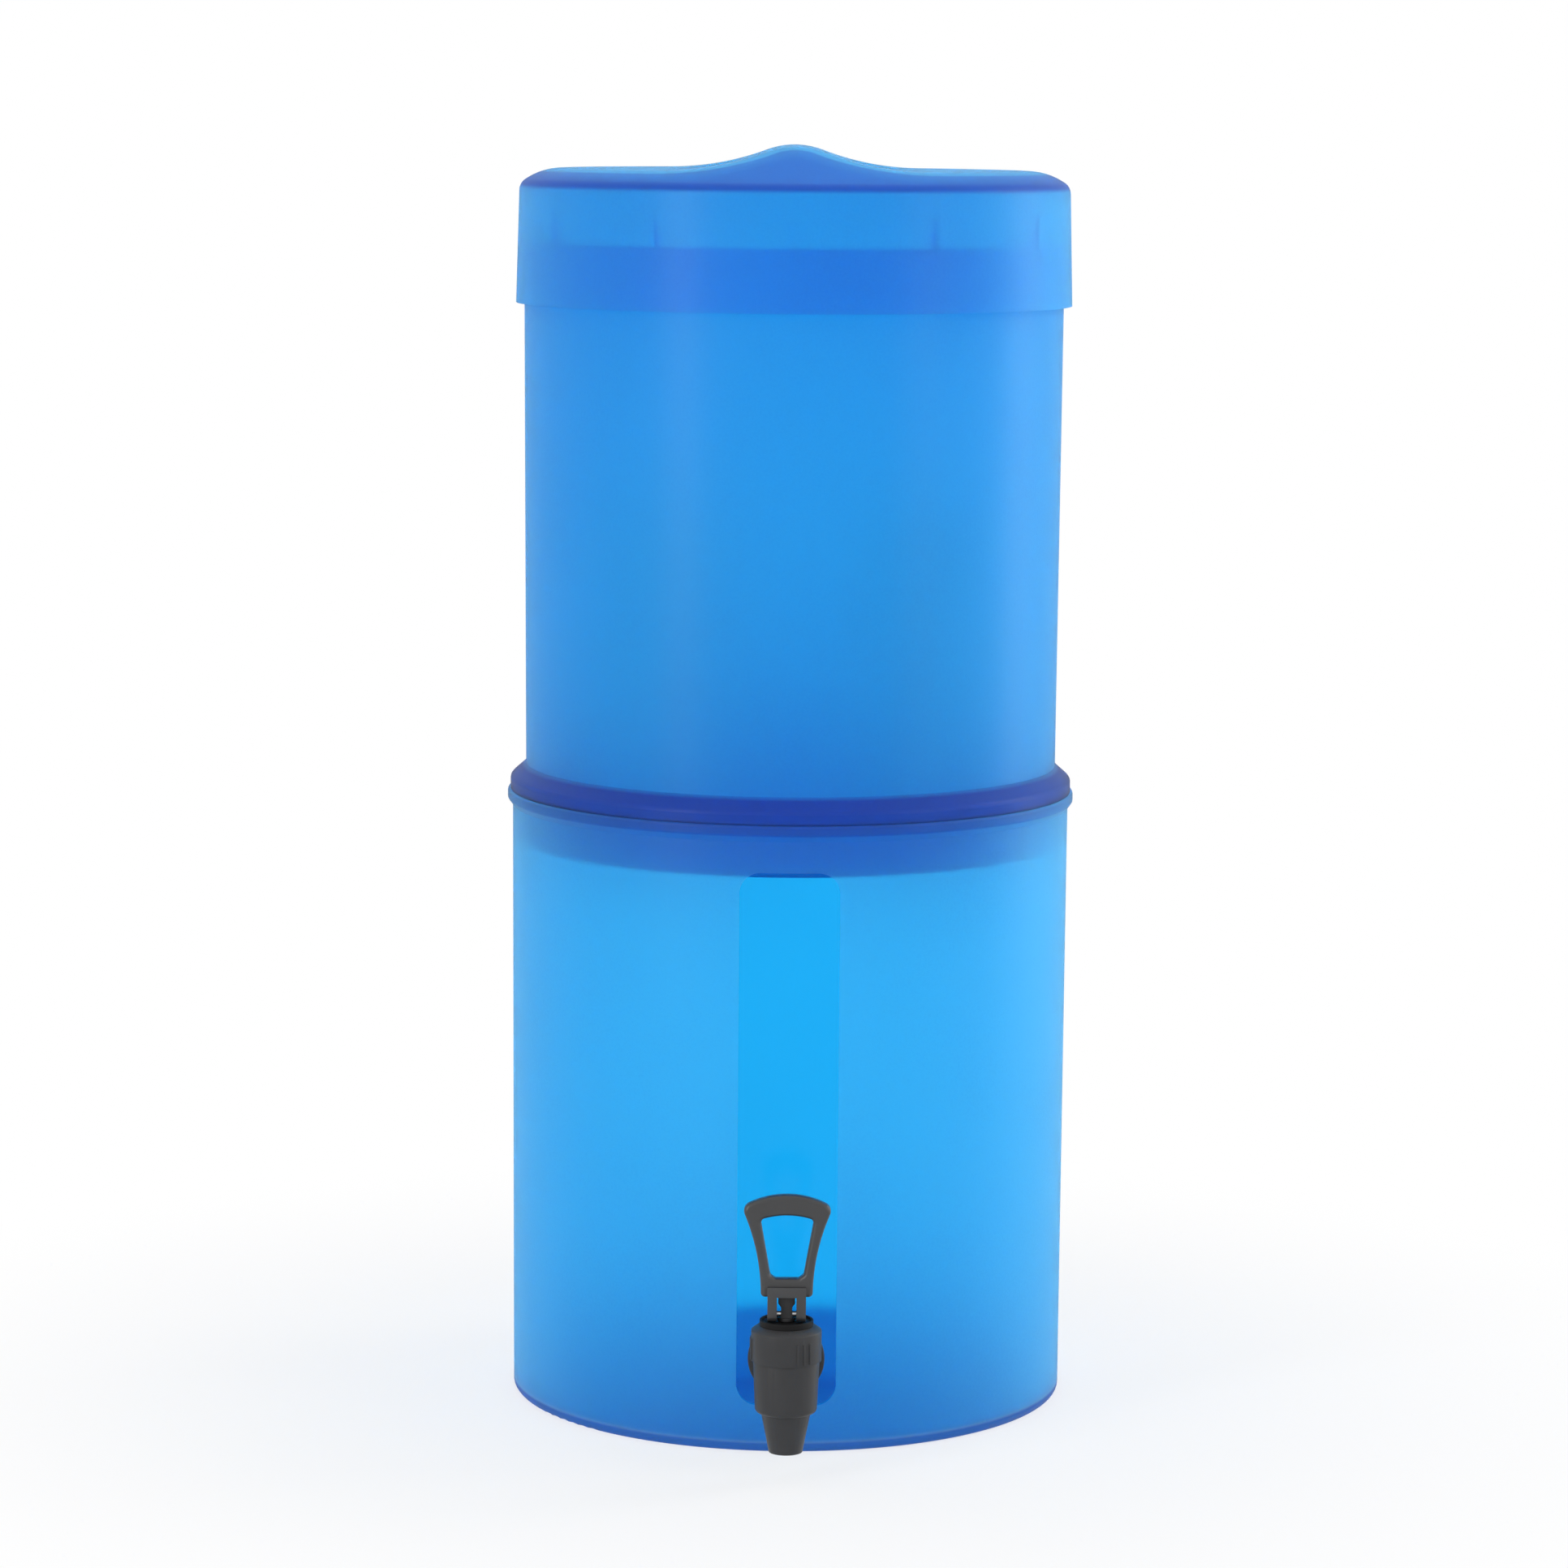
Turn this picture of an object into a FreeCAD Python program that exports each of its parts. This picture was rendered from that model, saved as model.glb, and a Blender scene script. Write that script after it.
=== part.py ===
import FreeCAD, Part
import math
import os
import re
import Sketcher

# Table-top gravity water filter: a lidded upper container with two ceramic
# candles stands in the rim of a lower container that has a loop-handle tap.
# Millimetres. +Z is up, the tap looks along -Y, and the origin is on the
# containers' axis, on the surface that the lower container stands on.

Vector = FreeCAD.Vector

# Driving dimensions. Every other length is worked out from these.
SIZES = {
    # lower container
    "rim_radius": 125.0,
    "joint_height": 270.0,
    "rim_proud": 2.2,
    "lower_draft": 0.6,
    "lower_wall": 2.6,
    "lower_floor": 3.6,
    "base_round": 3.0,
    "rim_depth": 4.0,
    "rim_flare": 3.0,
    "rim_round": 1.2,
    # upper container
    "upper_rise": 240.0,
    "upper_inset": 7.0,
    "upper_draft": 1.0,
    "upper_wall": 2.4,
    "upper_floor": 3.2,
    "collar_step": 1.2,
    "collar_face": 5.3,
    "collar_shoulder": 6.0,
    "collar_round": 2.4,
    "spigot_gap": 1.0,
    "spigot_depth": 22.7,
    "inside_round": 5.0,
    # lid
    "lid_gap": 1.4,
    "lid_wall": 2.2,
    "lid_overlap": 26.5,
    "lid_rise": 31.7,
    "lid_taper": 1.5,
    "brow_drop": 6.5,
    "brow_run": 10.5,
    "brow_round": 6.0,
    "brink_round": 28.0,
    "ridge_rise": 10.3,
    "ridge_half_width": 56.0,
    "ridge_crown": 36.0,
    "well_start": 25.0,
    "well_half_length": 34.0,
    "well_reach": 24.0,
    "well_depth": 7.0,
    "well_round": 3.0,
    "well_end_round": 6.0,
    "well_lip_round": 1.0,
    "rib_width": 2.0,
    "rib_reach": 5.0,
    "rib_below": 3.2,
    # filter candles
    "candle_offset": 58.0,
    "candle_radius": 24.0,
    "candle_length": 128.0,
    "candle_wall": 7.0,
    "candle_fit": 0.4,
    "core_fit": 0.4,
    "cup_wall": 1.8,
    "cup_floor": 3.0,
    "cup_height": 15.0,
    "screw_radius": 5.0,
    "screw_bore": 2.2,
    "screw_spare": 8.0,
    "screw_fit": 0.3,
    "washer_radius": 13.0,
    "washer_thick": 2.5,
    "nut_hub_radius": 8.5,
    "nut_height": 9.0,
    "nut_fit": 0.08,
    "wing_root": 1.0,
    "wing_reach": 19.0,
    "wing_thick": 3.0,
    # tap body
    "tap_height": 42.5,
    "tap_reach": 42.0,
    "spout_drop": 30.2,
    "spout_length": 17.0,
    "spout_tip_radius": 7.05,
    "spout_root_radius": 10.4,
    "spout_bore": 5.6,
    "barrel_draft": 1.0,
    "barrel_step": 0.8,
    "seam_gap": 0.3,
    "neck_wall": 2.1,
    "neck_length": 9.9,
    "chamber_radius": 10.2,
    "cut_past": 1.0,
    "shank_radius": 8.0,
    "shank_bore": 5.0,
    "shank_hole_gap": 0.3,
    "shank_spare": 3.0,
    "shank_root_proud": 0.8,
    "flange_radius": 16.3,
    "flange_thick": 3.0,
    "gasket_radius": 15.0,
    "gasket_thick": 2.6,
    "gasket_gap": 0.25,
    "shank_nut_radius": 15.0,
    "shank_nut_height": 8.0,
    # tap bonnet and bumper
    "bonnet_wall": 2.25,
    "bonnet_taper": 2.9,
    "bonnet_wall_height": 12.7,
    "bonnet_height": 14.7,
    "bonnet_round": 0.7,
    "thread_fit": 0.15,
    "ceiling_gap": 0.3,
    "gland_room": 0.1,
    "grip_start": 0.6,
    "grip_height": 8.8,
    "grip_width": 1.5,
    "grip_proud": 0.55,
    "bumper_inset": 0.6,
    "bumper_gap": 1.1,
    "bumper_floor": 1.8,
    "lip_width": 1.1,
    "lip_height": 0.75,
    # valve stem
    "stem_radius": 2.5,
    "stem_fit": 0.08,
    "seal_section": 0.9,
    "seal_fit": 0.15,
    "plug_lap": 2.0,
    "plug_height": 4.2,
    "plug_gap": 0.3,
    "plug_socket": 2.6,
    "stem_flange_lap": 0.3,
    "stem_flange_thick": 1.2,
    "coil_radius": 5.4,
    "coil_wire": 0.5,
    "collar_disc_radius": 3.7,
    "collar_disc_gap": 0.3,
    "collar_disc_thick": 1.3,
    "neck_width": 4.7,
    "head_width": 7.0,
    "head_depth": 5.2,
    "head_taper_above": 3.3,
    "head_flare_above": 4.9,
    "head_above": 7.2,
    "pin_radius": 1.25,
    "pin_stem_fit": 0.02,
    "pin_yoke_fit": 0.05,
    # loop handle and its yoke
    "cheek_width": 3.95,
    "head_gap": 0.55,
    "head_room": 0.8,
    "yoke_bridge": 4.3,
    "cam_gap": 0.5,
    "cam_radius": 2.5,
    "cam_offset": 3.4,
    "boss_radius": 2.4,
    "pin_inset": 0.3,
    "loop_foot": 7.7,
    "loop_foot_half": 10.8,
    "loop_rise": 50.9,
    "loop_shoulder_half": 19.0,
    "loop_shoulder_drop": 5.4,
    "loop_crown": 36.1,
    "loop_waist": 90.0,
    "loop_thick": 6.0,
    "loop_back": 2.0,
    "loop_round": 1.9,
    "loop_corner": 3.6,
    "eye_top_drop": 8.7,
    "eye_top_half": 11.0,
    "eye_corner_drop": 1.8,
    "eye_crown": 34.5,
    "eye_low_half": 6.9,
    "eye_low_rise": 17.1,
    "eye_base_half": 4.8,
    "eye_base_rise": 15.6,
}

RIB_COUNT = 12
GRIP_GROUPS = 3
GRIP_ANGLES = (-71.0, -59.5, -48.0)
COIL_TURNS = 7
SIDES = {"left": -1, "right": 1}

# Heights and radii that several pieces share, in terms of the driving ones.
SHARED = {
    "lower_radius": "rim_radius - rim_proud",
    "lower_base_radius": "lower_radius - lower_draft",
    "upper_radius": "rim_radius - upper_inset",
    "upper_foot_radius": "upper_radius - upper_draft",
    "flare_height": "joint_height - rim_depth - rim_flare",
    "mouth_height": "joint_height + upper_rise",
    "collar_radius": "rim_radius - collar_step",
    "spigot_radius": "lower_radius - lower_wall - spigot_gap",
    "spigot_end": "joint_height - spigot_depth",
    "floor_top": "spigot_end + upper_floor",
    "lid_radius": "upper_radius + lid_gap + lid_wall",
    "lid_end": "mouth_height - lid_overlap",
    "lid_top": "mouth_height + lid_rise",
    "ridge_top": "lid_top + ridge_rise",
    "brow_radius": "lid_radius - lid_taper",
    "brow_height": "lid_top - brow_drop",
    "brow_slope": "brow_drop / brow_run",
    "rib_top": "brow_height - rib_below",
    "well_curve": "(well_half_length^2 + well_reach^2) / (2 * well_reach)",
    "ridge_square": "ridge_half_width^2 + ridge_rise^2",
    "ridge_flank": "ridge_square / (2 * ridge_rise) - ridge_crown",
    "ridge_bend": "ridge_crown * 2 * ridge_half_width * ridge_rise / ridge_square",
    "ridge_bend_drop": "ridge_crown * 2 * ridge_rise^2 / ridge_square",
    "cup_end": "floor_top + washer_thick",
    "candle_seat": "cup_end + cup_floor",
    "candle_shoulder": "candle_seat + candle_length",
    "candle_bore": "candle_radius - candle_wall",
    "core_radius": "candle_bore - core_fit",
    "nut_top": "spigot_end - washer_thick",
    "nut_end": "nut_top - nut_height",
    "screw_end": "nut_end - screw_spare",
    "wall_at_tap": "lower_base_radius + (lower_radius - lower_base_radius) * tap_height / flare_height",
    "tap_axis": "wall_at_tap + tap_reach",
    "flange_back": "tap_reach - gasket_thick",
    "nut_face": "tap_reach + lower_wall + gasket_thick",
    "shank_root_radius": "shank_radius + shank_root_proud",
    "spout_end": "tap_height - spout_drop",
    "spout_top": "spout_end + spout_length",
    "seam_height": "tap_height + shank_root_radius + seam_gap",
    "neck_radius": "chamber_radius + neck_wall",
    "bonnet_bore": "neck_radius + thread_fit",
    "bonnet_radius": "bonnet_bore + bonnet_wall",
    "bonnet_top_radius": "bonnet_radius - bonnet_taper",
    "barrel_radius": "bonnet_radius - barrel_step",
    "barrel_foot_radius": "barrel_radius - barrel_draft",
    "neck_top": "seam_height + neck_length",
    "ceiling": "neck_top + ceiling_gap",
    "bonnet_top": "seam_height + bonnet_height",
    "stem_hole": "stem_radius + stem_fit",
    "gland_radius": "stem_radius + 2 * (seal_section + seal_fit)",
    "gland_depth": "2 * (seal_section + seal_fit) + gland_room",
    "valve_seat": "tap_height - shank_bore - plug_gap - plug_height",
    "plug_radius": "spout_bore + plug_lap",
    "plug_top": "valve_seat + plug_height",
    "spring_foot": "plug_top + stem_flange_thick",
    "stem_flange_radius": "coil_radius + coil_wire + stem_flange_lap",
    "bumper_radius": "bonnet_top_radius - bumper_inset",
    "bumper_bore": "stem_radius + bumper_gap",
    "dish_floor": "bonnet_top + bumper_floor",
    "disc_low": "dish_floor + collar_disc_gap",
    "pin_height": "dish_floor + cam_gap + cam_radius",
    "yoke_gap": "head_width + 2 * head_gap",
    "yoke_half_width": "yoke_gap / 2 + cheek_width",
    "yoke_slot_top": "pin_height + head_above + head_room",
    "loop_top": "pin_height + loop_rise",
    "foot_height": "pin_height + loop_foot",
    "cam_lean": "(cam_radius - boss_radius) / cam_offset",
    "cam_cosine": "sqrt(1 - cam_lean^2)",
}

doc = FreeCAD.newDocument("GravityWaterFilter")
sheet = doc.addObject("Spreadsheet::Sheet", "Dimensions")
for row, (name, size) in enumerate(SIZES.items(), start=1):
    sheet.set(f"A{row}", name)
    sheet.set(f"B{row}", str(size))
    sheet.setAlias(f"B{row}", name)
doc.recompute()


def sized(text):
    """Turn plain size names into references to the sheet's cells."""
    def swap(found):
        word = found.group()
        if word in SHARED:
            return f"({sized(SHARED[word])})"
        return f"Dimensions.{word}" if word in SIZES else word
    return re.sub(r"[a-z]+(?:_[a-z]+)*", swap, text)


def value(text):
    """The number that a size expression has now."""
    return float(sheet.evalExpression(sized(text)))


def bind(item, **properties):
    """Bind properties of an object to size expressions."""
    for key, text in properties.items():
        item.setExpression(key, sized(text))


def place(item, x="0", y="0", z="0"):
    """Bind the position of an object to size expressions."""
    for axis, text in (("x", x), ("y", y), ("z", z)):
        if text != "0":
            item.setExpression(f"Placement.Base.{axis}", sized(text))


def new_body(label, x="0", y="0", z="0"):
    body = doc.addObject("PartDesign::Body", label)
    body.Label = label
    place(body, x, y, z)
    return body


def new_sketch(body, plane, height="0", turn=0.0):
    """A sketch on one of the body's origin planes, raised along its normal."""
    sketch = body.newObject("Sketcher::SketchObject", body.Name + "_sketch")
    support = next(item for item in body.Origin.OriginFeatures if item.Role == plane)
    sketch.AttachmentSupport = [(support, "")]
    sketch.MapMode = "FlatFace"
    sketch.AttachmentOffset = FreeCAD.Placement(Vector(), FreeCAD.Rotation(Vector(0, 0, 1), turn))
    if height != "0":
        sketch.setExpression("AttachmentOffset.Base.z", sized(height))
    return sketch


def pin_down(sketch, kind, axis, geometry, end, text):
    """Hold one coordinate of a point at a size expression."""
    if text == "0":
        sketch.addConstraint(Sketcher.Constraint("PointOnObject", geometry, end, axis))
        return
    index = sketch.addConstraint(Sketcher.Constraint(kind, -1, 1, geometry, end, value(text)))
    sketch.setExpression(f"Constraints[{index}]", sized(text))


def outline(sketch, corners):
    """Draw a closed outline. A corner is (x, y), or (x, y, radius, turn) where an
    arc leads to the next corner: turn is 1 with its centre on the left, else -1."""
    points = [Vector(value(corner[0]), value(corner[1]), 0) for corner in corners]
    ends = []
    for number, corner in enumerate(corners):
        start = points[number]
        stop = points[(number + 1) % len(points)]
        if len(corner) == 2:
            geometry = sketch.addGeometry(Part.LineSegment(start, stop), False)
            ends.append((geometry, 1, 2))
            continue
        radius = value(corner[2])
        chord = stop - start
        left = Vector(-chord.y, chord.x, 0).normalize()
        reach = math.sqrt(max(radius ** 2 - (chord.Length / 2) ** 2, 0.0))
        centre = (start + stop) * 0.5 + left * (corner[3] * reach)
        first, last = (start, stop) if corner[3] > 0 else (stop, start)
        angles = [math.atan2(point.y - centre.y, point.x - centre.x) for point in (first, last)]
        if angles[1] < angles[0]:
            angles[1] += 2 * math.pi
        circle = Part.Circle(centre, Vector(0, 0, 1), radius)
        geometry = sketch.addGeometry(Part.ArcOfCircle(circle, *angles), False)
        ends.append((geometry, 1, 2) if corner[3] > 0 else (geometry, 2, 1))
    for number, (geometry, begin, finish) in enumerate(ends):
        follower, follower_begin, _ = ends[(number + 1) % len(ends)]
        joined = Sketcher.Constraint("Coincident", geometry, finish, follower, follower_begin)
        sketch.addConstraint(joined)
    for corner, (geometry, begin, _) in zip(corners, ends):
        pin_down(sketch, "DistanceX", -2, geometry, begin, corner[0])
        pin_down(sketch, "DistanceY", -1, geometry, begin, corner[1])
        if len(corner) > 2:
            index = sketch.addConstraint(Sketcher.Constraint("Radius", geometry, value(corner[2])))
            sketch.setExpression(f"Constraints[{index}]", sized(corner[2]))


def ring(sketch, x, y, radius):
    """Draw a circle whose centre and radius are size expressions."""
    centre = Vector(value(x), value(y), 0)
    circle = Part.Circle(centre, Vector(0, 0, 1), value(radius))
    geometry = sketch.addGeometry(circle, False)
    pin_down(sketch, "DistanceX", -2, geometry, 3, x)
    pin_down(sketch, "DistanceY", -1, geometry, 3, y)
    index = sketch.addConstraint(Sketcher.Constraint("Radius", geometry, value(radius)))
    sketch.setExpression(f"Constraints[{index}]", sized(radius))


def settle(body, before, cuts):
    """Recompute, and stop if a feature changed the volume the wrong way."""
    doc.recompute()
    after = body.Shape.Volume
    if (after >= before - 1e-6) if cuts else (after <= before + 1e-6):
        raise RuntimeError(f"{body.Label}: a feature left the volume at {after:.3f}")


def volume(body):
    return body.Shape.Volume if body.Tip and not body.Shape.isNull() else 0.0


def turned(body, corners, cuts=False):
    """Turn an outline of radii and heights about the body's Z axis."""
    before = volume(body)
    sketch = new_sketch(body, "XZ_Plane")
    outline(sketch, corners)
    kind = "PartDesign::Groove" if cuts else "PartDesign::Revolution"
    feature = body.newObject(kind, body.Name + "_turned")
    feature.Profile = sketch
    feature.ReferenceAxis = (sketch, ["V_Axis"])
    feature.Angle = 360.0
    settle(body, before, cuts)
    return feature


def extruded(body, sketch, length, cuts=False, back=False, both=False):
    """Pad or pocket a sketch. Along its normal, or back against it."""
    before = volume(body)
    kind = "PartDesign::Pocket" if cuts else "PartDesign::Pad"
    feature = body.newObject(kind, body.Name + "_extruded")
    feature.Profile = sketch
    feature.SideType = "Symmetric" if both else "One side"
    feature.Reversed = back != cuts
    feature.setExpression("Length", sized(length))
    settle(body, before, cuts)
    return feature


def circle_at(radius, height):
    """A test for level round edges about Z, of this radius at this height."""
    size, level = value(radius), value(height)

    def fits(edge):
        curve = edge.Curve
        if not isinstance(curve, Part.Circle):
            return False
        level_off = max(abs(vertex.Point.z - level) for vertex in edge.Vertexes)
        return abs(curve.Radius - size) < 1e-4 and level_off < 1e-4
    return fits


def rounded(body, radius, *tests):
    """Fillet each edge of the body's last feature that one of the tests accepts."""
    feature = body.Tip
    chosen = []
    for number, edge in enumerate(feature.Shape.Edges, start=1):
        if any(test(edge) for test in tests):
            chosen.append(f"Edge{number}")
    if len(chosen) < len(tests):
        raise RuntimeError(f"{body.Label}: {len(chosen)} edges found to round")
    fillet = body.newObject("PartDesign::Fillet", body.Name + "_rounded")
    fillet.Base = (feature, chosen)
    fillet.setExpression("Radius", sized(radius))
    doc.recompute()
    if fillet.Shape.isNull() or not fillet.Shape.isValid():
        raise RuntimeError(f"{body.Label}: edges {chosen} can't be rounded by {radius}")
    return fillet


def cone_of(label, low_radius, high_radius, low, high):
    """A solid cone about Z, as the containers' tapered walls are."""
    cone = doc.addObject("Part::Cone", label)
    bind(cone, Radius1=low_radius, Radius2=high_radius, Height=f"{high} - ({low})")
    place(cone, z=low)
    return cone


# Lower container: tapered tub with a flat base, a beaded rim and the tap's hole
def lower_container():
    body = new_body("lower_container")
    turned(body, [
        ("0", "0"),
        ("lower_base_radius", "0"),
        ("lower_radius", "flare_height"),
        ("rim_radius", "joint_height - rim_depth"),
        ("rim_radius", "joint_height"),
        ("lower_radius - lower_wall", "joint_height"),
        ("lower_base_radius - lower_wall", "lower_floor"),
        ("0", "lower_floor"),
    ])
    rounded(body, "base_round", circle_at("lower_base_radius", "0"))
    rounded(body, "rim_round", circle_at("rim_radius", "joint_height"),
            circle_at("rim_radius", "joint_height - rim_depth"))
    rounded(body, "lower_floor / 2", circle_at("lower_base_radius - lower_wall", "lower_floor"))
    hole = new_sketch(body, "XZ_Plane")
    ring(hole, "0", "tap_height", "shank_radius + shank_hole_gap")
    extruded(body, hole, "lower_radius + lower_wall", cuts=True)
    return body


# Upper container: its spigot drops into the lower rim and its collar rests on it
def upper_container():
    body = new_body("upper_container")
    turned(body, [
        ("0", "spigot_end"),
        ("spigot_radius", "spigot_end"),
        ("spigot_radius", "joint_height"),
        ("collar_radius", "joint_height"),
        ("collar_radius", "joint_height + collar_face"),
        ("upper_foot_radius", "joint_height + collar_face + collar_shoulder"),
        ("upper_radius", "mouth_height"),
        ("upper_radius - upper_wall", "mouth_height"),
        ("upper_foot_radius - upper_wall", "floor_top"),
        ("0", "floor_top"),
    ])
    rounded(body, "collar_round", circle_at("collar_radius", "joint_height + collar_face"))
    rounded(body, "upper_floor / 2", circle_at("spigot_radius", "spigot_end"))
    rounded(body, "inside_round", circle_at("upper_foot_radius - upper_wall", "floor_top"))
    holes = new_sketch(body, "XY_Plane")
    for side in SIDES.values():
        ring(holes, f"{side} * candle_offset", "0", "screw_radius + screw_fit")
    extruded(body, holes, "joint_height", cuts=True)
    return body


# Lid: a rounded brow, a front-to-back grip ridge and a finger well each side.
# Its inside has the same form, set in by the wall.
def lid_form(label, inset):
    body = new_body(label)
    side, top = f"(lid_radius - {inset})", f"(lid_top - {inset})"
    crown, flank = f"(ridge_crown - {inset})", f"(ridge_flank + {inset})"
    bend = f"ridge_bend * {crown} / ridge_crown"
    bend_height = f"ridge_top - {inset} - ridge_bend_drop * {crown} / ridge_crown"
    foot = f"lid_end - {inset} / 2"
    block = new_sketch(body, "XZ_Plane")
    outline(block, [
        (f"-{side}", foot),
        (side, foot),
        (side, top),
        ("ridge_half_width", top, flank, -1),
        (bend, bend_height, crown, 1),
        (f"-{bend}", bend_height, flank, -1),
        ("-ridge_half_width", top),
        (f"-{side}", top),
    ])
    extruded(body, block, "3 * lid_radius", both=True)
    brow_side = f"(brow_radius - {inset})"
    brow_end = f"(brow_height + {inset} * (brow_slope - sqrt(1 + brow_slope^2)))"
    turned(body, [
        (side, "lid_end - lid_wall"),
        ("2 * lid_radius", "lid_end - lid_wall"),
        ("2 * lid_radius", "ridge_top + lid_wall"),
        (f"{brow_side} - (ridge_top + lid_wall - {brow_end}) / brow_slope", "ridge_top + lid_wall"),
        (brow_side, brow_end),
    ], cuts=True)
    flat, slope = value(top), value("brow_slope")
    start, low = value(brow_side), value(brow_end)

    def brink(edge):
        middle = edge.valueAt((edge.FirstParameter + edge.LastParameter) / 2)
        up_the_brow = low + slope * (start - math.hypot(middle.x, middle.y))
        return middle.z > flat - 1e-3 and abs(middle.z - up_the_brow) < 1e-2
    rounded(body, f"brow_round - {inset}", circle_at(brow_side, brow_end))
    rounded(body, f"brink_round - {inset}", brink)

    curve = f"(well_curve + {inset})"
    half = f"sqrt({curve}^2 - (well_curve - well_reach - {inset})^2)"
    for sign in SIDES.values():
        well = new_sketch(body, "XY_Plane", f"{top} - well_depth")
        near = f"{sign} * (well_start - {inset})"
        outline(well, [
            (near, f"-{half}", curve, sign),
            (near, half),
        ])
        extruded(body, well, f"well_depth + {inset} + ridge_rise", cuts=True)
    floor = value(f"{top} - well_depth")

    def well_end(edge):
        return isinstance(edge.Curve, Part.Line) and abs(edge.tangentAt(edge.FirstParameter).z) > 0.99

    def well_foot(edge):
        return all(abs(vertex.Point.z - floor) < 1e-3 for vertex in edge.Vertexes)
    rounded(body, f"well_end_round + {inset}", well_end)
    rounded(body, f"well_round + {inset}", well_foot)
    return body


def lid():
    outside = lid_form("lid_outside", "0")
    flat, far = value("lid_top"), value("well_start + well_reach")

    def well_lip(edge):
        ends = [vertex.Point for vertex in edge.Vertexes]
        return all(point.z > flat - 1e-3 and abs(point.x) < far + 1e-3
                   and abs(point.y) < value("well_half_length") for point in ends)
    rounded(outside, "well_lip_round", well_lip)
    inside = lid_form("lid_inside", "lid_wall")
    gusset = new_sketch(inside, "XZ_Plane")
    wall = "(lid_radius - lid_wall)"
    outline(gusset, [
        (f"{wall} - rib_reach", "mouth_height"),
        (f"{wall} + lid_wall / 2", "mouth_height"),
        (f"{wall} + lid_wall / 2", "rib_top"),
        (f"{wall} - rib_reach", "mouth_height + rib_width"),
    ])
    rib = extruded(inside, gusset, "rib_width", cuts=True, both=True)
    before = volume(inside)
    ribs = inside.newObject("PartDesign::PolarPattern", "lid_ribs")
    ribs.Originals = [rib]
    ribs.Axis = (gusset, ["V_Axis"])
    ribs.Angle = 360.0
    ribs.Occurrences = RIB_COUNT
    inside.Tip = ribs
    settle(inside, before, True)
    shell = doc.addObject("Part::Cut", "lid")
    shell.Label = "lid"
    shell.Base = outside
    shell.Tool = inside
    return shell


# One filter candle, set off from the containers' axis
def candle(name, side):
    offset = f"{side} * candle_offset"

    ceramic = new_body(f"candle_ceramic_{name}", x=offset)
    turned(ceramic, [
        ("candle_bore", "candle_seat"),
        ("candle_radius", "candle_seat"),
        ("candle_radius", "candle_shoulder", "candle_radius", 1),
        ("0", "candle_shoulder + candle_radius"),
        ("0", "candle_shoulder + candle_bore", "candle_bore", -1),
        ("candle_bore", "candle_shoulder"),
    ])

    core = new_body(f"carbon_core_{name}", x=offset)
    turned(core, [
        ("0", "candle_seat"),
        ("core_radius", "candle_seat"),
        ("core_radius", "candle_shoulder", "core_radius", 1),
        ("0", "candle_shoulder + core_radius"),
    ])

    base = new_body(f"candle_base_{name}", x=offset)
    turned(base, [
        ("screw_bore", "screw_end"),
        ("screw_radius", "screw_end"),
        ("screw_radius", "cup_end"),
        ("candle_radius + candle_fit + cup_wall", "cup_end"),
        ("candle_radius + candle_fit + cup_wall", "cup_end + cup_height"),
        ("candle_radius + candle_fit", "cup_end + cup_height"),
        ("candle_radius + candle_fit", "candle_seat"),
        ("screw_bore", "candle_seat"),
    ])
    rounded(base, "cup_wall / 2", circle_at("candle_radius + candle_fit + cup_wall", "cup_end"))

    gasket = new_body(f"candle_gasket_{name}", x=offset)
    turned(gasket, washer("floor_top", "cup_end"))
    return [ceramic, core, base, gasket]


def washer(low, high):
    """The outline of a flat washer on the candle's screw."""
    return [
        ("screw_radius + screw_fit", low),
        ("washer_radius", low),
        ("washer_radius", high),
        ("screw_radius + screw_fit", high),
    ]


# Soft washers and wing nuts under the upper container's floor, one pair each
def floor_washers():
    bodies = []
    for name, side in SIDES.items():
        body = new_body(f"floor_washer_{name}", x=f"{side} * candle_offset")
        turned(body, washer("nut_top", "spigot_end"))
        bodies.append(body)
    return group("floor_washers", bodies)


def wing_nuts():
    bodies = []
    for name, side in SIDES.items():
        body = new_body(f"wing_nut_{name}", x=f"{side} * candle_offset")
        turned(body, [
            ("screw_radius + nut_fit", "nut_end"),
            ("nut_hub_radius", "nut_end"),
            ("nut_hub_radius", "nut_top"),
            ("screw_radius + nut_fit", "nut_top"),
        ])
        for wing in SIDES.values():
            blade = new_sketch(body, "XZ_Plane")
            corners = [
                (f"{wing} * (nut_hub_radius - wing_root)", "nut_end + nut_height / 3"),
                (f"{wing} * wing_reach", "nut_end - nut_height / 4"),
                (f"{wing} * wing_reach", "nut_end + nut_height / 2"),
                (f"{wing} * (nut_hub_radius - wing_root)", "nut_top - nut_height / 9"),
            ]
            outline(blade, corners)
            extruded(body, blade, "wing_thick", both=True)
        tip = value("wing_reach")

        def wing_tip(edge):
            return all(abs(abs(vertex.Point.x) - tip) < 1e-3 for vertex in edge.Vertexes)
        rounded(body, "wing_thick / 3", wing_tip)
        bodies.append(body)
    return group("wing_nuts", bodies)


def group(label, bodies):
    """Like pieces that share one node, each still a solid of its own."""
    pieces = doc.addObject("Part::Compound", label)
    pieces.Label = label
    pieces.Links = bodies
    return pieces


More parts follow.
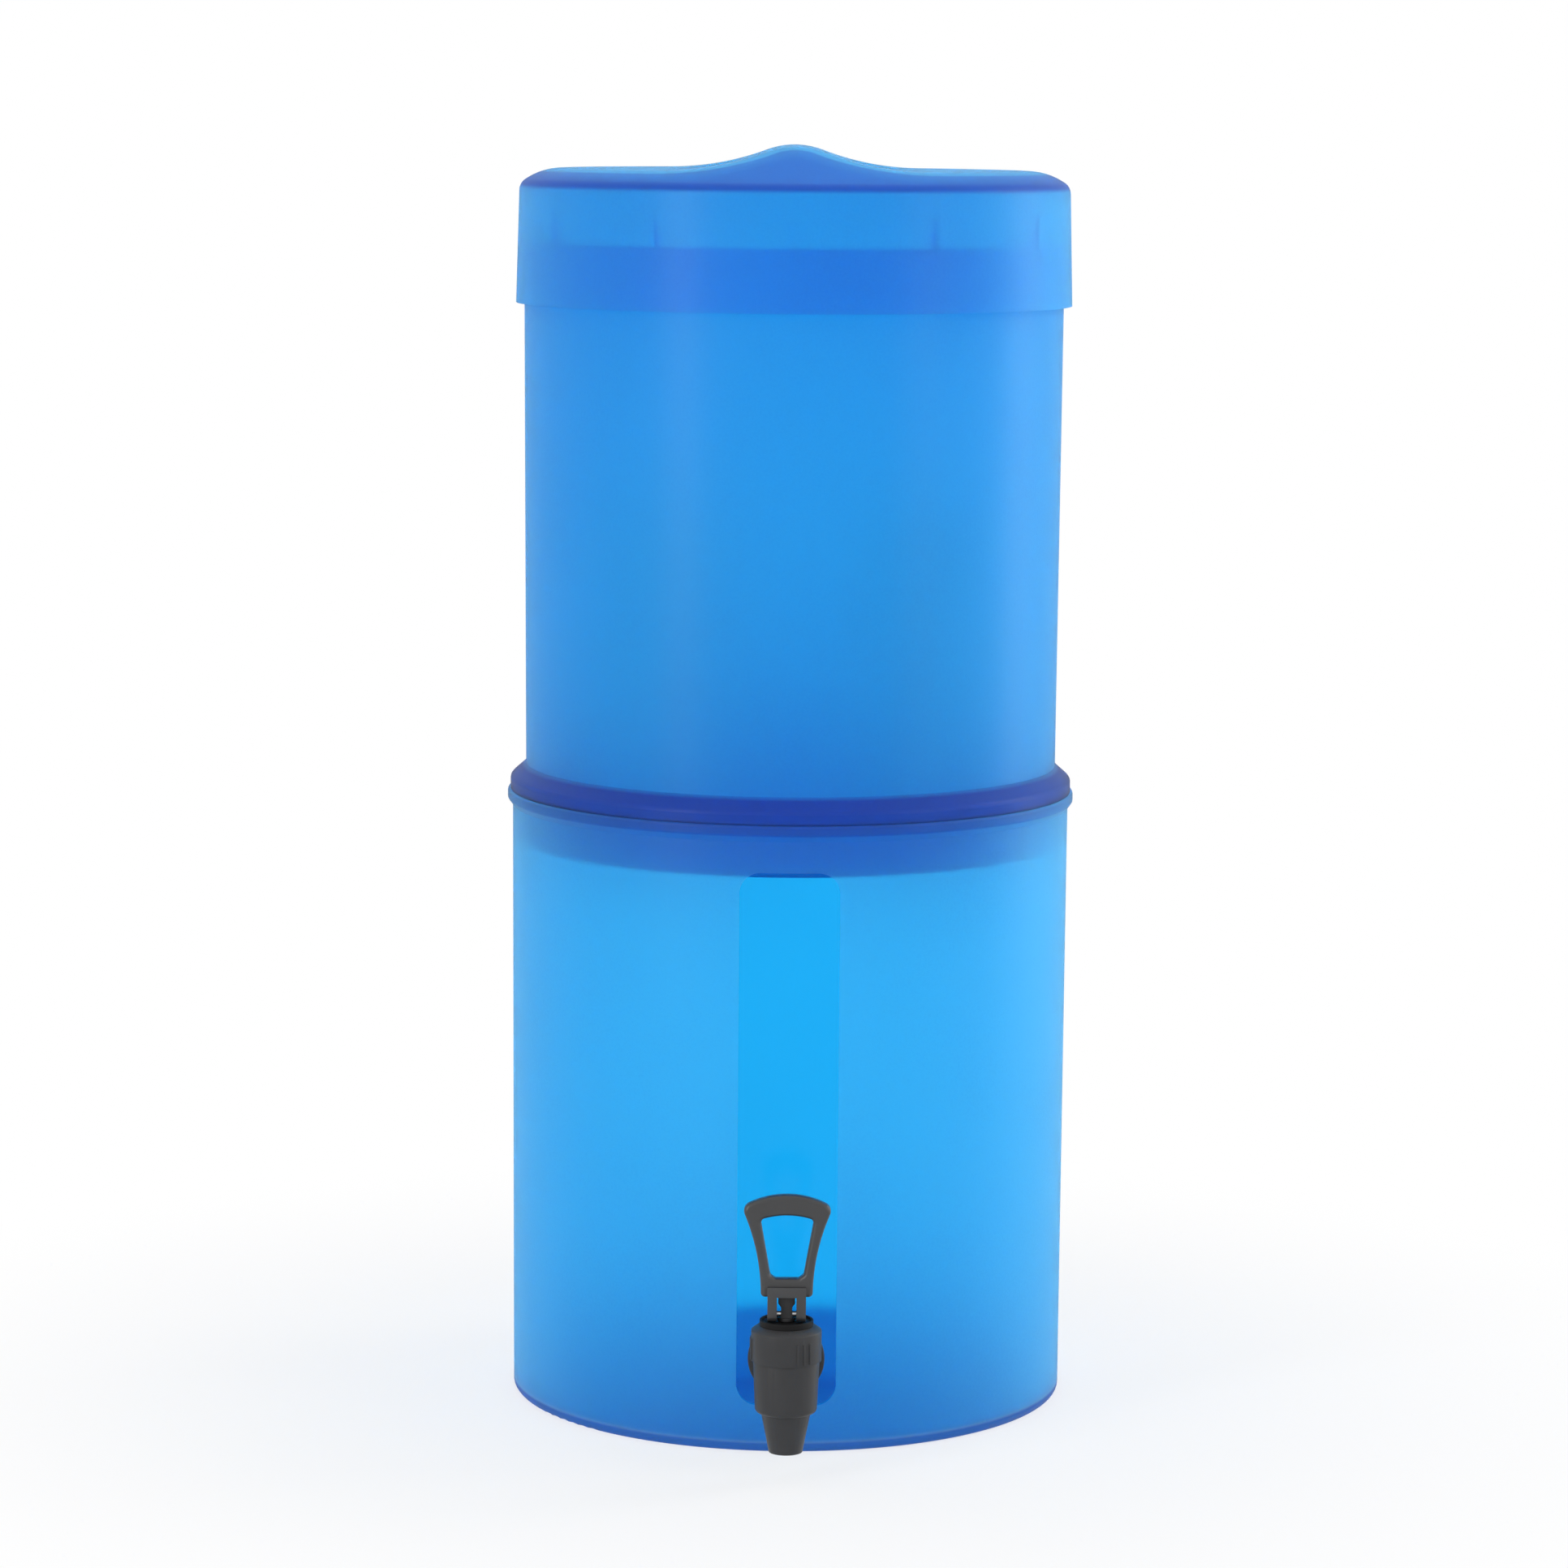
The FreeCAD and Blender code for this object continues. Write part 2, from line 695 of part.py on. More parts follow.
# Tap body: spout, barrel, threaded neck, flange and the shank through the wall
def tap_body():
    body = new_body("tap_body", y="-tap_axis")
    turned(body, [
        ("0", "spout_end"),
        ("spout_tip_radius", "spout_end"),
        ("spout_root_radius", "spout_top"),
        ("barrel_foot_radius", "spout_top"),
        ("barrel_radius", "seam_height"),
        ("neck_radius", "seam_height"),
        ("neck_radius", "neck_top"),
        ("0", "neck_top"),
    ])
    rounded(body, "4 / 5 * (barrel_foot_radius - spout_root_radius)",
            circle_at("barrel_foot_radius", "spout_top"))
    root = new_sketch(body, "XZ_Plane")
    ring(root, "0", "tap_height", "shank_root_radius")
    extruded(body, root, "flange_back", back=True)
    shank = new_sketch(body, "XZ_Plane")
    ring(shank, "0", "tap_height", "shank_radius")
    extruded(body, shank, "nut_face + shank_nut_height + shank_spare", back=True)
    flange = new_sketch(body, "XZ_Plane", "-flange_back")
    ring(flange, "0", "tap_height", "flange_radius")
    extruded(body, flange, "flange_thick")
    turned(body, [
        ("0", "spout_end - cut_past"),
        ("spout_bore", "spout_end - cut_past"),
        ("spout_bore", "valve_seat"),
        ("chamber_radius", "valve_seat"),
        ("chamber_radius", "neck_top + cut_past"),
        ("0", "neck_top + cut_past"),
    ], cuts=True)
    inlet = new_sketch(body, "XZ_Plane")
    ring(inlet, "0", "tap_height", "shank_bore")
    extruded(body, inlet, "2 * tap_axis", cuts=True, back=True)
    rim = value("flange_radius")

    def flange_rim(edge):
        return isinstance(edge.Curve, Part.Circle) and abs(edge.Curve.Radius - rim) < 1e-4
    rounded(body, "flange_thick / 4", flange_rim)
    return body


# Gaskets: flat on the tap's side, shaped to the container's wall on the other
def wall_gasket(label, start, length, wall, joins):
    tube = doc.addObject("Part::Cylinder", label + "_tube")
    core = doc.addObject("Part::Cylinder", label + "_bore")
    lying = FreeCAD.Rotation(Vector(1, 0, 0), -90)
    for cylinder, radius in ((tube, "gasket_radius"), (core, "shank_radius + shank_hole_gap")):
        cylinder.Placement = FreeCAD.Placement(Vector(), lying)
        bind(cylinder, Radius=radius, Height=length)
        place(cylinder, y=f"{start} - tap_axis", z="tap_height")
    washer_ring = doc.addObject("Part::Cut", label + "_ring")
    washer_ring.Base = tube
    washer_ring.Tool = core
    gasket = doc.addObject("Part::Common" if joins else "Part::Cut", label)
    gasket.Label = label
    gasket.Base = washer_ring
    gasket.Tool = wall
    return gasket


def outer_gasket():
    wall = cone_of("outer_wall", "lower_base_radius + gasket_gap", "lower_radius + gasket_gap",
                   "0", "flare_height")
    return wall_gasket("outer_gasket", "flange_back", "2 * gasket_thick", wall, False)


def inner_gasket():
    inset = "(lower_wall + gasket_gap)"
    wall = cone_of("inner_wall", f"lower_base_radius - {inset}", f"lower_radius - {inset}",
                   "lower_floor", "joint_height")
    return wall_gasket("inner_gasket", "tap_reach", "lower_wall + gasket_thick", wall, True)


def shank_nut():
    body = new_body("shank_nut", y="-tap_axis")
    hexagon = new_sketch(body, "XZ_Plane", "-nut_face")
    corners = []
    for number in range(6):
        angle = math.radians(60 * number)
        across = f"shank_nut_radius * {math.cos(angle):.6f}"
        upward = f"tap_height + shank_nut_radius * {math.sin(angle):.6f}"
        corners.append((across, upward))
    outline(hexagon, corners)
    ring(hexagon, "0", "tap_height", "shank_radius + nut_fit")
    extruded(body, hexagon, "shank_nut_height", back=True)
    return body


# Bonnet: screws over the tap's neck, with three groups of grip ribs
def tap_bonnet():
    body = new_body("tap_bonnet", y="-tap_axis")
    turned(body, [
        ("bonnet_bore", "seam_height"),
        ("bonnet_radius", "seam_height"),
        ("bonnet_radius", "seam_height + bonnet_wall_height"),
        ("bonnet_top_radius", "bonnet_top"),
        ("stem_hole", "bonnet_top"),
        ("stem_hole", "ceiling + gland_depth"),
        ("gland_radius", "ceiling + gland_depth"),
        ("gland_radius", "ceiling"),
        ("bonnet_bore", "ceiling"),
    ])
    rounded(body, "bonnet_round",
            circle_at("bonnet_radius", "seam_height + bonnet_wall_height"))
    ribs = []
    for angle in GRIP_ANGLES:
        grip = new_sketch(body, "XY_Plane", "seam_height + grip_start", angle)
        outline(grip, [
            ("bonnet_radius - grip_width / 2", "-grip_width / 2"),
            ("bonnet_radius + grip_proud", "-grip_width / 4"),
            ("bonnet_radius + grip_proud", "grip_width / 4"),
            ("bonnet_radius - grip_width / 2", "grip_width / 2"),
        ])
        ribs.append(extruded(body, grip, "grip_height"))
    before = volume(body)
    pattern = body.newObject("PartDesign::PolarPattern", "bonnet_grips")
    pattern.Originals = ribs
    axis = next(item for item in body.Origin.OriginFeatures if item.Role == "Z_Axis")
    pattern.Axis = (axis, [""])
    pattern.Angle = 360.0
    pattern.Occurrences = GRIP_GROUPS
    body.Tip = pattern
    settle(body, before, False)
    return body


# Bumper: a rubber dish on the bonnet that the yoke's cams press on
def bumper_ring():
    body = new_body("bumper_ring", y="-tap_axis")
    turned(body, [
        ("bumper_bore", "bonnet_top"),
        ("bumper_radius", "bonnet_top"),
        ("bumper_radius", "dish_floor + lip_height"),
        ("bumper_radius - lip_width", "dish_floor + lip_height"),
        ("bumper_radius - lip_width", "dish_floor"),
        ("bumper_bore", "dish_floor"),
    ])
    rounded(body, "lip_width / 3",
            circle_at("bumper_radius", "dish_floor + lip_height"))
    return body


# Valve stem: a rod with a flange over the plug and a T-shaped head round the hinge pin
def tap_stem():
    body = new_body("tap_stem", y="-tap_axis")
    turned(body, [
        ("0", "plug_top - plug_socket"),
        ("stem_radius", "plug_top - plug_socket"),
        ("stem_radius", "plug_top"),
        ("stem_flange_radius", "plug_top"),
        ("stem_flange_radius", "spring_foot"),
        ("stem_radius", "spring_foot"),
        ("stem_radius", "disc_low"),
        ("collar_disc_radius", "disc_low"),
        ("collar_disc_radius", "disc_low + collar_disc_thick"),
        ("0", "disc_low + collar_disc_thick"),
    ])
    head = new_sketch(body, "XZ_Plane")
    outline(head, [
        ("-neck_width / 2", "disc_low + collar_disc_thick / 2"),
        ("neck_width / 2", "disc_low + collar_disc_thick / 2"),
        ("neck_width / 2", "pin_height + head_taper_above"),
        ("head_width / 2", "pin_height + head_flare_above"),
        ("head_width / 2", "pin_height + head_above"),
        ("-head_width / 2", "pin_height + head_above"),
        ("-head_width / 2", "pin_height + head_flare_above"),
        ("-neck_width / 2", "pin_height + head_taper_above"),
    ])
    extruded(body, head, "head_depth", both=True)
    eye = new_sketch(body, "YZ_Plane")
    ring(eye, "0", "pin_height", "pin_radius + pin_stem_fit")
    extruded(body, eye, "2 * head_width", cuts=True, both=True)
    return body


def stem_seal():
    seal = doc.addObject("Part::Torus", "stem_seal")
    seal.Label = "stem_seal"
    bind(seal, Radius1="stem_radius + seal_fit + seal_section", Radius2="seal_section")
    place(seal, y="-tap_axis", z="ceiling + gland_depth - seal_section - seal_fit")
    return seal


def valve_plug():
    body = new_body("valve_plug", y="-tap_axis")
    turned(body, [
        ("0", "valve_seat"),
        ("plug_radius", "valve_seat"),
        ("plug_radius", "plug_top"),
        ("stem_radius", "plug_top"),
        ("stem_radius", "plug_top - plug_socket"),
        ("0", "plug_top - plug_socket"),
    ])
    rounded(body, "plug_socket / 3", circle_at("plug_radius", "plug_top"))
    return body


def hinge_pin():
    pin = doc.addObject("Part::Cylinder", "hinge_pin")
    pin.Label = "hinge_pin"
    pin.Placement = FreeCAD.Placement(Vector(), FreeCAD.Rotation(Vector(0, 1, 0), 90))
    bind(pin, Radius="pin_radius", Height="2 * (yoke_half_width - pin_inset)")
    place(pin, x="pin_inset - yoke_half_width", y="-tap_axis", z="pin_height")
    return pin


# Return spring: one unbroken round wire wound between stem flange and ceiling
def arc_from(start, stop, heading):
    """The arc that leaves start along heading and ends at stop."""
    chord = stop - start
    across = heading - chord * (heading.dot(chord) / chord.dot(chord))
    lean = math.atan2(across.Length, heading.dot(chord) / chord.Length)
    middle = (start + stop) * 0.5 + across.normalize() * (chord.Length / 2 * math.tan(lean / 2))
    return Part.Arc(start, middle, stop).toShape()


def biarc(start, heading, stop, arrival):
    """Two tangent arcs from one point and heading to another."""
    span = stop - start
    total = heading + arrival
    spread = 2 * (1 - heading.dot(arrival))
    reach = (math.sqrt(span.dot(total) ** 2 + spread * span.dot(span)) - span.dot(total)) / spread
    joint = (start + stop + (heading - arrival) * reach) * 0.5
    first = arc_from(start, joint, heading)
    leaving = ((stop - arrival * reach) - joint).normalize()
    return [first, arc_from(joint, stop, leaving)]


def return_spring():
    radius, wire = value("coil_radius"), value("coil_wire")
    low, high = value("spring_foot + coil_wire"), value("ceiling - coil_wire")
    rise = (high - low) / COIL_TURNS
    quarter = rise / 4
    slope = rise / (2 * math.pi)

    def point(step):
        angle = step * math.pi / 2
        return Vector(radius * math.cos(angle), radius * math.sin(angle), low + quarter * step)

    def heading(step):
        angle = step * math.pi / 2
        return Vector(-radius * math.sin(angle), radius * math.cos(angle), slope).normalize()
    edges = []
    steps = 4 * COIL_TURNS
    for step in range(steps):
        edges += biarc(point(step), heading(step), point(step + 1), heading(step + 1))
    path = Part.Wire(edges)
    section = Part.Wire(Part.Circle(point(0), heading(0), wire).toShape())
    pipe = Part.BRepOffsetAPI.MakePipeShell(path)
    pipe.add(section)
    pipe.build()
    pipe.makeSolid()
    tube = pipe.shape()
    samples = [point(step) for step in range(steps + 1)]
    gap = min((first - second).Length for index, first in enumerate(samples)
              for second in samples[index + 3:]) - 2 * wire
    expected = math.pi * wire ** 2 * path.Length
    print(f"return spring: least gap {gap:.2f} mm, volume {tube.Volume:.2f} of {expected:.2f}")
    spring = doc.addObject("Part::Feature", "return_spring")
    spring.Label = "return_spring"
    spring.Shape = tube
    place(spring, y="-tap_axis")
    return spring


# Loop handle: an open loop above a forked yoke whose cams lift the stem
def tap_handle():
    body = new_body("tap_handle", y="-tap_axis")
    front = "(loop_thick - loop_back)"
    loop = new_sketch(body, "XZ_Plane", front)
    outline(loop, [
        ("-loop_foot_half", "foot_height"),
        ("loop_foot_half", "foot_height", "loop_waist", -1),
        ("loop_shoulder_half", "loop_top - loop_shoulder_drop", "loop_crown", 1),
        ("-loop_shoulder_half", "loop_top - loop_shoulder_drop", "loop_waist", -1),
    ])
    eye_top = "loop_top - eye_top_drop"
    outline(loop, [
        ("-eye_base_half", "pin_height + eye_base_rise"),
        ("eye_base_half", "pin_height + eye_base_rise"),
        ("eye_low_half", "pin_height + eye_low_rise"),
        ("eye_top_half", f"{eye_top} - eye_corner_drop", "eye_crown", 1),
        ("-eye_top_half", f"{eye_top} - eye_corner_drop"),
        ("-eye_low_half", "pin_height + eye_low_rise"),
    ])
    extruded(body, loop, "loop_thick", back=True)

    def across(edge):
        straight = isinstance(edge.Curve, Part.Line)
        return straight and abs(edge.tangentAt(edge.FirstParameter).y) > 0.99

    def outer_corner(edge):
        return across(edge) and abs(edge.Vertexes[0].Point.x) > value("eye_top_half + 1")

    def foot_corner(edge):
        return across(edge) and abs(edge.Vertexes[0].Point.z - value("foot_height")) < 1e-3

    def eye_corner(edge):
        return across(edge) and not outer_corner(edge) and not foot_corner(edge)
    rounded(body, "loop_corner", outer_corner)
    rounded(body, "loop_corner / 2", eye_corner)
    rounded(body, "loop_corner / 2", foot_corner)
    faces = (value("-loop_thick + loop_back"), value("loop_back"))

    def rim_edge(edge):
        return any(all(abs(vertex.Point.y - face) < 1e-3 for vertex in edge.Vertexes)
                   for face in faces)
    rounded(body, "loop_round", rim_edge)
    side = new_sketch(body, "YZ_Plane")
    top = "yoke_slot_top + yoke_bridge"
    outline(side, [
        ("-cam_offset - cam_radius", "pin_height", "cam_radius", 1),
        ("cam_radius * cam_lean - cam_offset", "pin_height - cam_radius * cam_cosine"),
        ("boss_radius * cam_lean", "pin_height - boss_radius * cam_cosine", "boss_radius", 1),
        ("boss_radius", "pin_height"),
        ("boss_radius", top),
        ("-cam_offset - cam_radius", top),
    ])
    extruded(body, side, "2 * yoke_half_width", both=True)
    slot = new_sketch(body, "XZ_Plane")
    outline(slot, [
        ("-yoke_gap / 2", "pin_height - 2 * cam_radius"),
        ("yoke_gap / 2", "pin_height - 2 * cam_radius"),
        ("yoke_gap / 2", "yoke_slot_top"),
        ("-yoke_gap / 2", "yoke_slot_top"),
    ])
    extruded(body, slot, "4 * (cam_offset + cam_radius)", cuts=True, both=True)
    eye = new_sketch(body, "YZ_Plane")
    ring(eye, "0", "pin_height", "pin_radius + pin_yoke_fit")
    extruded(body, eye, "4 * yoke_half_width", cuts=True, both=True)
    return body


nodes = [lower_container(), upper_container(), lid()]
for candle_name, candle_side in SIDES.items():
    nodes += candle(candle_name, candle_side)
nodes += [floor_washers(), wing_nuts()]
nodes += [tap_body(), outer_gasket(), inner_gasket(), shank_nut(), tap_bonnet(), bumper_ring()]
nodes += [tap_stem(), stem_seal(), valve_plug(), return_spring(), hinge_pin(), tap_handle()]
doc.recompute()

for item in doc.Objects:
    if "Invalid" in item.State or "Error" in item.State:
        raise RuntimeError(f"{item.Label} failed: {item.State}")
for node in nodes:
    if node.Shape.isNull() or not node.Shape.isValid() or not node.Shape.Solids:
        raise RuntimeError(f"{node.Label} has no valid solid")

os.makedirs("parts", exist_ok=True)
for node in nodes:
    node.Shape.exportStep(f"parts/{node.Label}.step")
    box = node.Shape.BoundBox
    print(f"{node.Label}: {len(node.Shape.Solids)} solid, {node.Shape.Volume:.0f} mm3, "
          f"x {box.XMin:.1f} {box.XMax:.1f}, y {box.YMin:.1f} {box.YMax:.1f}, "
          f"z {box.ZMin:.1f} {box.ZMax:.1f}")
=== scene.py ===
"""Looks of a table-top gravity water filter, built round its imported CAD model.

Everything is in metres in the CAD frame: +Z is up, the tap looks along -Y and
the origin is where the containers' axis meets the surface they stand on. A size
in millimetres says so, and becomes metres where it is used.
"""

from __future__ import annotations

import logging
import math
from dataclasses import dataclass
from enum import Enum
from typing import Any, Iterable, Union

import bpy
from mathutils import Matrix, Vector


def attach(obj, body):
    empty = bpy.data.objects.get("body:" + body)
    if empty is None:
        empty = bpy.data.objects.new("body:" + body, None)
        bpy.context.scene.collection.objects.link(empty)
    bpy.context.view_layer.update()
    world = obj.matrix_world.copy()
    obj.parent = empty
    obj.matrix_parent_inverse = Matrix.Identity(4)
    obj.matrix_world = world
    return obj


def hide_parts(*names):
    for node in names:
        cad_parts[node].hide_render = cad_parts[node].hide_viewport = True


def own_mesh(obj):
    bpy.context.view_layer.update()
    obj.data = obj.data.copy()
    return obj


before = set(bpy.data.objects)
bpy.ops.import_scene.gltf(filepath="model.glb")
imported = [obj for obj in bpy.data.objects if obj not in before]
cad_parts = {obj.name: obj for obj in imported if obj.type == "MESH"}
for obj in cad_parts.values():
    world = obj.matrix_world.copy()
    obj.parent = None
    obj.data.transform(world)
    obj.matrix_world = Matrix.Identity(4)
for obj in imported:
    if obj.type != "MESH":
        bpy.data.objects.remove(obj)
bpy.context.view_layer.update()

LOG = logging.getLogger("gravity_water_filter")
MM = 0.001

Inputs = dict[Union[int, str], Any]
Tree = bpy.types.NodeTree
Rgba = tuple[float, float, float, float]

WHITE = (1.0, 1.0, 1.0, 1.0)


class Body(Enum):
    """The CAD bodies that pieces move with."""

    LOWER = "lower_container"
    UPPER = "upper_container"
    LID = "lid"
    STEM = "tap_stem"
    HANDLE = "tap_handle"


def linear(hex_colour: str) -> Rgba:
    """Turn an sRGB hex colour into linear light.

    Args:
        hex_colour: The colour as "#RRGGBB".

    Returns:
        The linear red, green, blue and an alpha of 1.
    """
    channels = [int(hex_colour[i : i + 2], 16) / 255 for i in (1, 3, 5)]
    values = [c / 12.92 if c <= 0.04045 else ((c + 0.055) / 1.055) ** 2.4 for c in channels]
    return values[0], values[1], values[2], 1.0


def add_node(tree: Tree, kind: str, inputs: Inputs | None = None, **settings: Any) -> bpy.types.Node:
    """Add a shader node with its settings, values and links.

    Args:
        tree: The node tree to add to.
        kind: The node's Blender type name.
        inputs: Socket name or number, with a value or the socket to link from.
        **settings: Properties of the node itself.

    Returns:
        The new node.
    """
    node = tree.nodes.new(kind)
    for name, setting in settings.items():
        setattr(node, name, setting)
    for key, given in (inputs or {}).items():
        if isinstance(given, bpy.types.NodeSocket):
            tree.links.new(given, node.inputs[key])
        else:
            node.inputs[key].default_value = given
    return node


def new_tree(name: str) -> tuple[bpy.types.Material, Tree]:
    """Make a material with an empty node tree.

    Args:
        name: The material's name.

    Returns:
        The material and its tree.
    """
    material = bpy.data.materials.new(name)
    material.use_nodes = True
    material.node_tree.nodes.clear()
    return material, material.node_tree


def object_place(tree: Tree) -> Any:
    """Add the object coordinates and return their socket."""
    return add_node(tree, "ShaderNodeTexCoord").outputs["Object"]


def add_math(tree: Tree, operation: str, *values: Any, clamp: bool = False) -> Any:
    """Add a math node.

    Args:
        tree: The node tree to add to.
        operation: The operation's Blender name.
        *values: What it works on, each a number or a socket.
        clamp: Whether the result is kept between 0 and 1.

    Returns:
        The result's socket.
    """
    inputs: Inputs = dict(enumerate(values))
    node = add_node(tree, "ShaderNodeMath", inputs, operation=operation, use_clamp=clamp)
    return node.outputs[0]


def add_length(tree: Tree, vector: Any) -> Any:
    """Measure a vector's length and return its socket."""
    node = add_node(tree, "ShaderNodeVectorMath", {0: vector}, operation="LENGTH")
    return node.outputs["Value"]


def map_range(
    tree: Tree, value: Any, low: float, high: float, start: float = 0.0, end: float = 1.0
) -> Any:
    """Stretch a value evenly, from start..end to low..high.

    Args:
        tree: The node tree to add to.
        value: The socket that is stretched.
        low: The result at start.
        high: The result at end.
        start: Where the result is low.
        end: Where the result is high.

    Returns:
        The result's socket.
    """
    inputs: Inputs = {"Value": value, "From Min": start, "From Max": end, "To Min": low, "To Max": high}
    return add_node(tree, "ShaderNodeMapRange", inputs).outputs["Result"]


def smooth_step(tree: Tree, value: Any, start: float, end: float) -> Any:
    """Make a mask that rises smoothly from 0 at start to 1 at end.

    Args:
        tree: The node tree to add to.
        value: The socket that is measured.
        start: Where the mask is 0.
        end: Where the mask is 1.

    Returns:
        The mask's socket.
    """
    inputs: Inputs = {"Value": value, "From Min": start, "From Max": end}
    step = add_node(tree, "ShaderNodeMapRange", inputs, interpolation_type="SMOOTHSTEP")
    return step.outputs["Result"]


def mix_colours(tree: Tree, factor: Any, first: Any, second: Any) -> Any:
    """Mix two colours.

    Args:
        tree: The node tree to add to.
        factor: The second colour's share, as a socket.
        first: The first colour or its socket.
        second: The second colour or its socket.

    Returns:
        The mixed colour's socket.
    """
    inputs: Inputs = {"Factor": factor, 6: first, 7: second}
    return add_node(tree, "ShaderNodeMix", inputs, data_type="RGBA").outputs[2]


def mix_shaders(tree: Tree, factor: Any, first: Any, second: Any) -> Any:
    """Mix two shaders.

    Args:
        tree: The node tree to add to.
        factor: The second shader's share, as a socket.
        first: The first shader's socket.
        second: The second shader's socket.

    Returns:
        The mixed shader's socket.
    """
    return add_node(tree, "ShaderNodeMixShader", {0: factor, 1: first, 2: second}).outputs[0]


def add_noise(tree: Tree, place: Any, width: float, detail: float = 2.0) -> Any:
    """Add a soft noise pattern.

    Args:
        tree: The node tree to add to.
        place: The socket with the coordinates.
        width: About how wide its spots are, in millimetres.
        detail: How many finer layers it has.

    Returns:
        The pattern's socket, from 0 to 1.
    """
    inputs: Inputs = {"Vector": place, "Scale": 1 / (width * MM), "Detail": detail}
    return add_node(tree, "ShaderNodeTexNoise", inputs).outputs["Fac"]


def add_relief(tree: Tree, pattern: Any, depth: float, strength: float) -> Any:
    """Turn a pattern into a surface relief.

    Args:
        tree: The node tree to add to.
        pattern: The pattern's socket.
        depth: The relief's height, in millimetres.
        strength: How much of it the light shows, from 0 to 1.

    Returns:
        The bumped normal's socket.
    """
    inputs: Inputs = {"Strength": strength, "Distance": depth * MM, "Height": pattern}
    return add_node(tree, "ShaderNodeBump", inputs).outputs[0]


def principled(tree: Tree, inputs: Inputs) -> Any:
    """Add a principled shader with these inputs and return its socket."""
    return add_node(tree, "ShaderNodeBsdfPrincipled", inputs).outputs[0]


def show(tree: Tree, surface: Any) -> None:
    """Make a shader's socket the material's surface."""
    add_node(tree, "ShaderNodeOutputMaterial", {"Surface": surface})


@dataclass(frozen=True)
class DeepAndShadedBand:
    """A ring of the moulding, between two heights, whose tint is deepened: where the plastic is
    thicker, and as painted shade where less light comes through the wall.

    Attributes:
        low: Its lowest height, in millimetres.
        high: Its highest height, in millimetres.
        fade: How far its colour fades out beyond them, in millimetres.
        depth: How deep its colour is in the middle, from 0 to 1.
    """

    low: float
    high: float
    fade: float
    depth: float = 1.0

    def mask(self, tree: Tree, height: Any) -> Any:
        """Mark the ring in a node tree.

        Args:
            tree: The node tree to add to.
            height: The socket with the height.

        Returns:
            A socket that rises from 0 off the ring to its depth on it.
        """
        rise = smooth_step(tree, height, (self.low - self.fade) * MM, self.low * MM)
        fall = smooth_step(tree, height, (self.high + self.fade) * MM, self.high * MM)
        return add_math(tree, "MULTIPLY", add_math(tree, "MULTIPLY", rise, fall), self.depth)


@dataclass(frozen=True)
class ShadedBrow:
    """The sloping brow of the lid, whose surface is a cone about the upright axis, darkened with
    painted shade.

    Attributes:
        height: Height of its lower edge, in millimetres.
        radius: Radius of its lower edge, in millimetres.
        slope: How far it rises for each millimetre inwards.
        skin: How near the cone the plastic counts as brow, in millimetres.
        depth: How deep its painted shade is, from 0 to 1.
    """

    height: float = 535.2
    radius: float = 120.1
    slope: float = 0.619
    skin: float = 0.7
    depth: float = 0.8

    def mask(self, tree: Tree, place: Any) -> Any:
        """Mark the brow in a node tree.

        Args:
            tree: The node tree to add to.
            place: The socket with the object coordinates.

        Returns:
            A socket that rises from 0 off the brow to its depth on it.
        """
        axes = add_node(tree, "ShaderNodeSeparateXYZ", {0: place}).outputs
        flat = add_node(tree, "ShaderNodeCombineXYZ", {0: axes["X"], 1: axes["Y"]}).outputs[0]
        level = add_math(tree, "MULTIPLY_ADD", add_length(tree, flat), self.slope, axes["Z"])
        cone = (self.height + self.slope * self.radius) * MM
        away = add_math(tree, "ABSOLUTE", add_math(tree, "SUBTRACT", level, cone))
        near = smooth_step(tree, away, 2 * self.skin * MM, self.skin * MM)
        return add_math(tree, "MULTIPLY", near, self.depth)


@dataclass(frozen=True)
class SightWindow:
    """The polished strip of the lower container's front, through which the water shows.

    The mould is polished there, so the wall keeps its gloss and blurs little.

    Attributes:
        half_width: Half its width, in millimetres.
        low: Its lower edge's height, in millimetres.
        high: Its upper edge's height, in millimetres.
        corner: Its corners' radius, in millimetres.
        tint: What its wall lets through, as sRGB hex.
        roughness: How strongly its surface blurs.
        ior: Its refractive index, kept low so that it mirrors little of the tap.
    """

    half_width: float = 21.2
    low: float = 20.6
    high: float = 249.8
    corner: float = 9.0
    tint: str = "#48D2F9"
    roughness: float = 0.2
    ior: float = 1.2

    def mask(self, tree: Tree, place: Any) -> Any:
        """Mark the strip in a node tree.

        Args:
            tree: The node tree to add to.
            place: The socket with the object coordinates.

        Returns:
            A socket that is 1 on the strip and 0 elsewhere.
        """
        axes = add_node(tree, "ShaderNodeSeparateXYZ", {0: place}).outputs
        half_height = (self.high - self.low) / 2 * MM
        middle = (self.high + self.low) / 2 * MM
        lifted = add_math(tree, "SUBTRACT", axes["Z"], middle)
        beyond = []
        for reach, across in ((self.half_width * MM, axes["X"]), (half_height, lifted)):
            size = add_math(tree, "ABSOLUTE", across)
            over = add_math(tree, "SUBTRACT", size, reach - self.corner * MM)
            beyond.append(add_math(tree, "MAXIMUM", over, 0.0))
        pair = add_node(tree, "ShaderNodeCombineXYZ", {0: beyond[0], 1: beyond[1]}).outputs[0]
        inside = add_math(tree, "LESS_THAN", add_length(tree, pair), self.corner * MM)
        front = add_math(tree, "LESS_THAN", axes["Y"], 0.0)
        return add_math(tree, "MULTIPLY", inside, front)

    def surface(self, tree: Tree) -> Any:
        """Make the polished plastic.

        Args:
            tree: The node tree to add to.

        Returns:
            The shader's socket.
        """
        inputs: Inputs = {
            "Base Color": linear(self.tint),
            "Roughness": self.roughness,
            "IOR": self.ior,
            "Transmission Weight": 1.0,
        }
        return principled(tree, inputs)


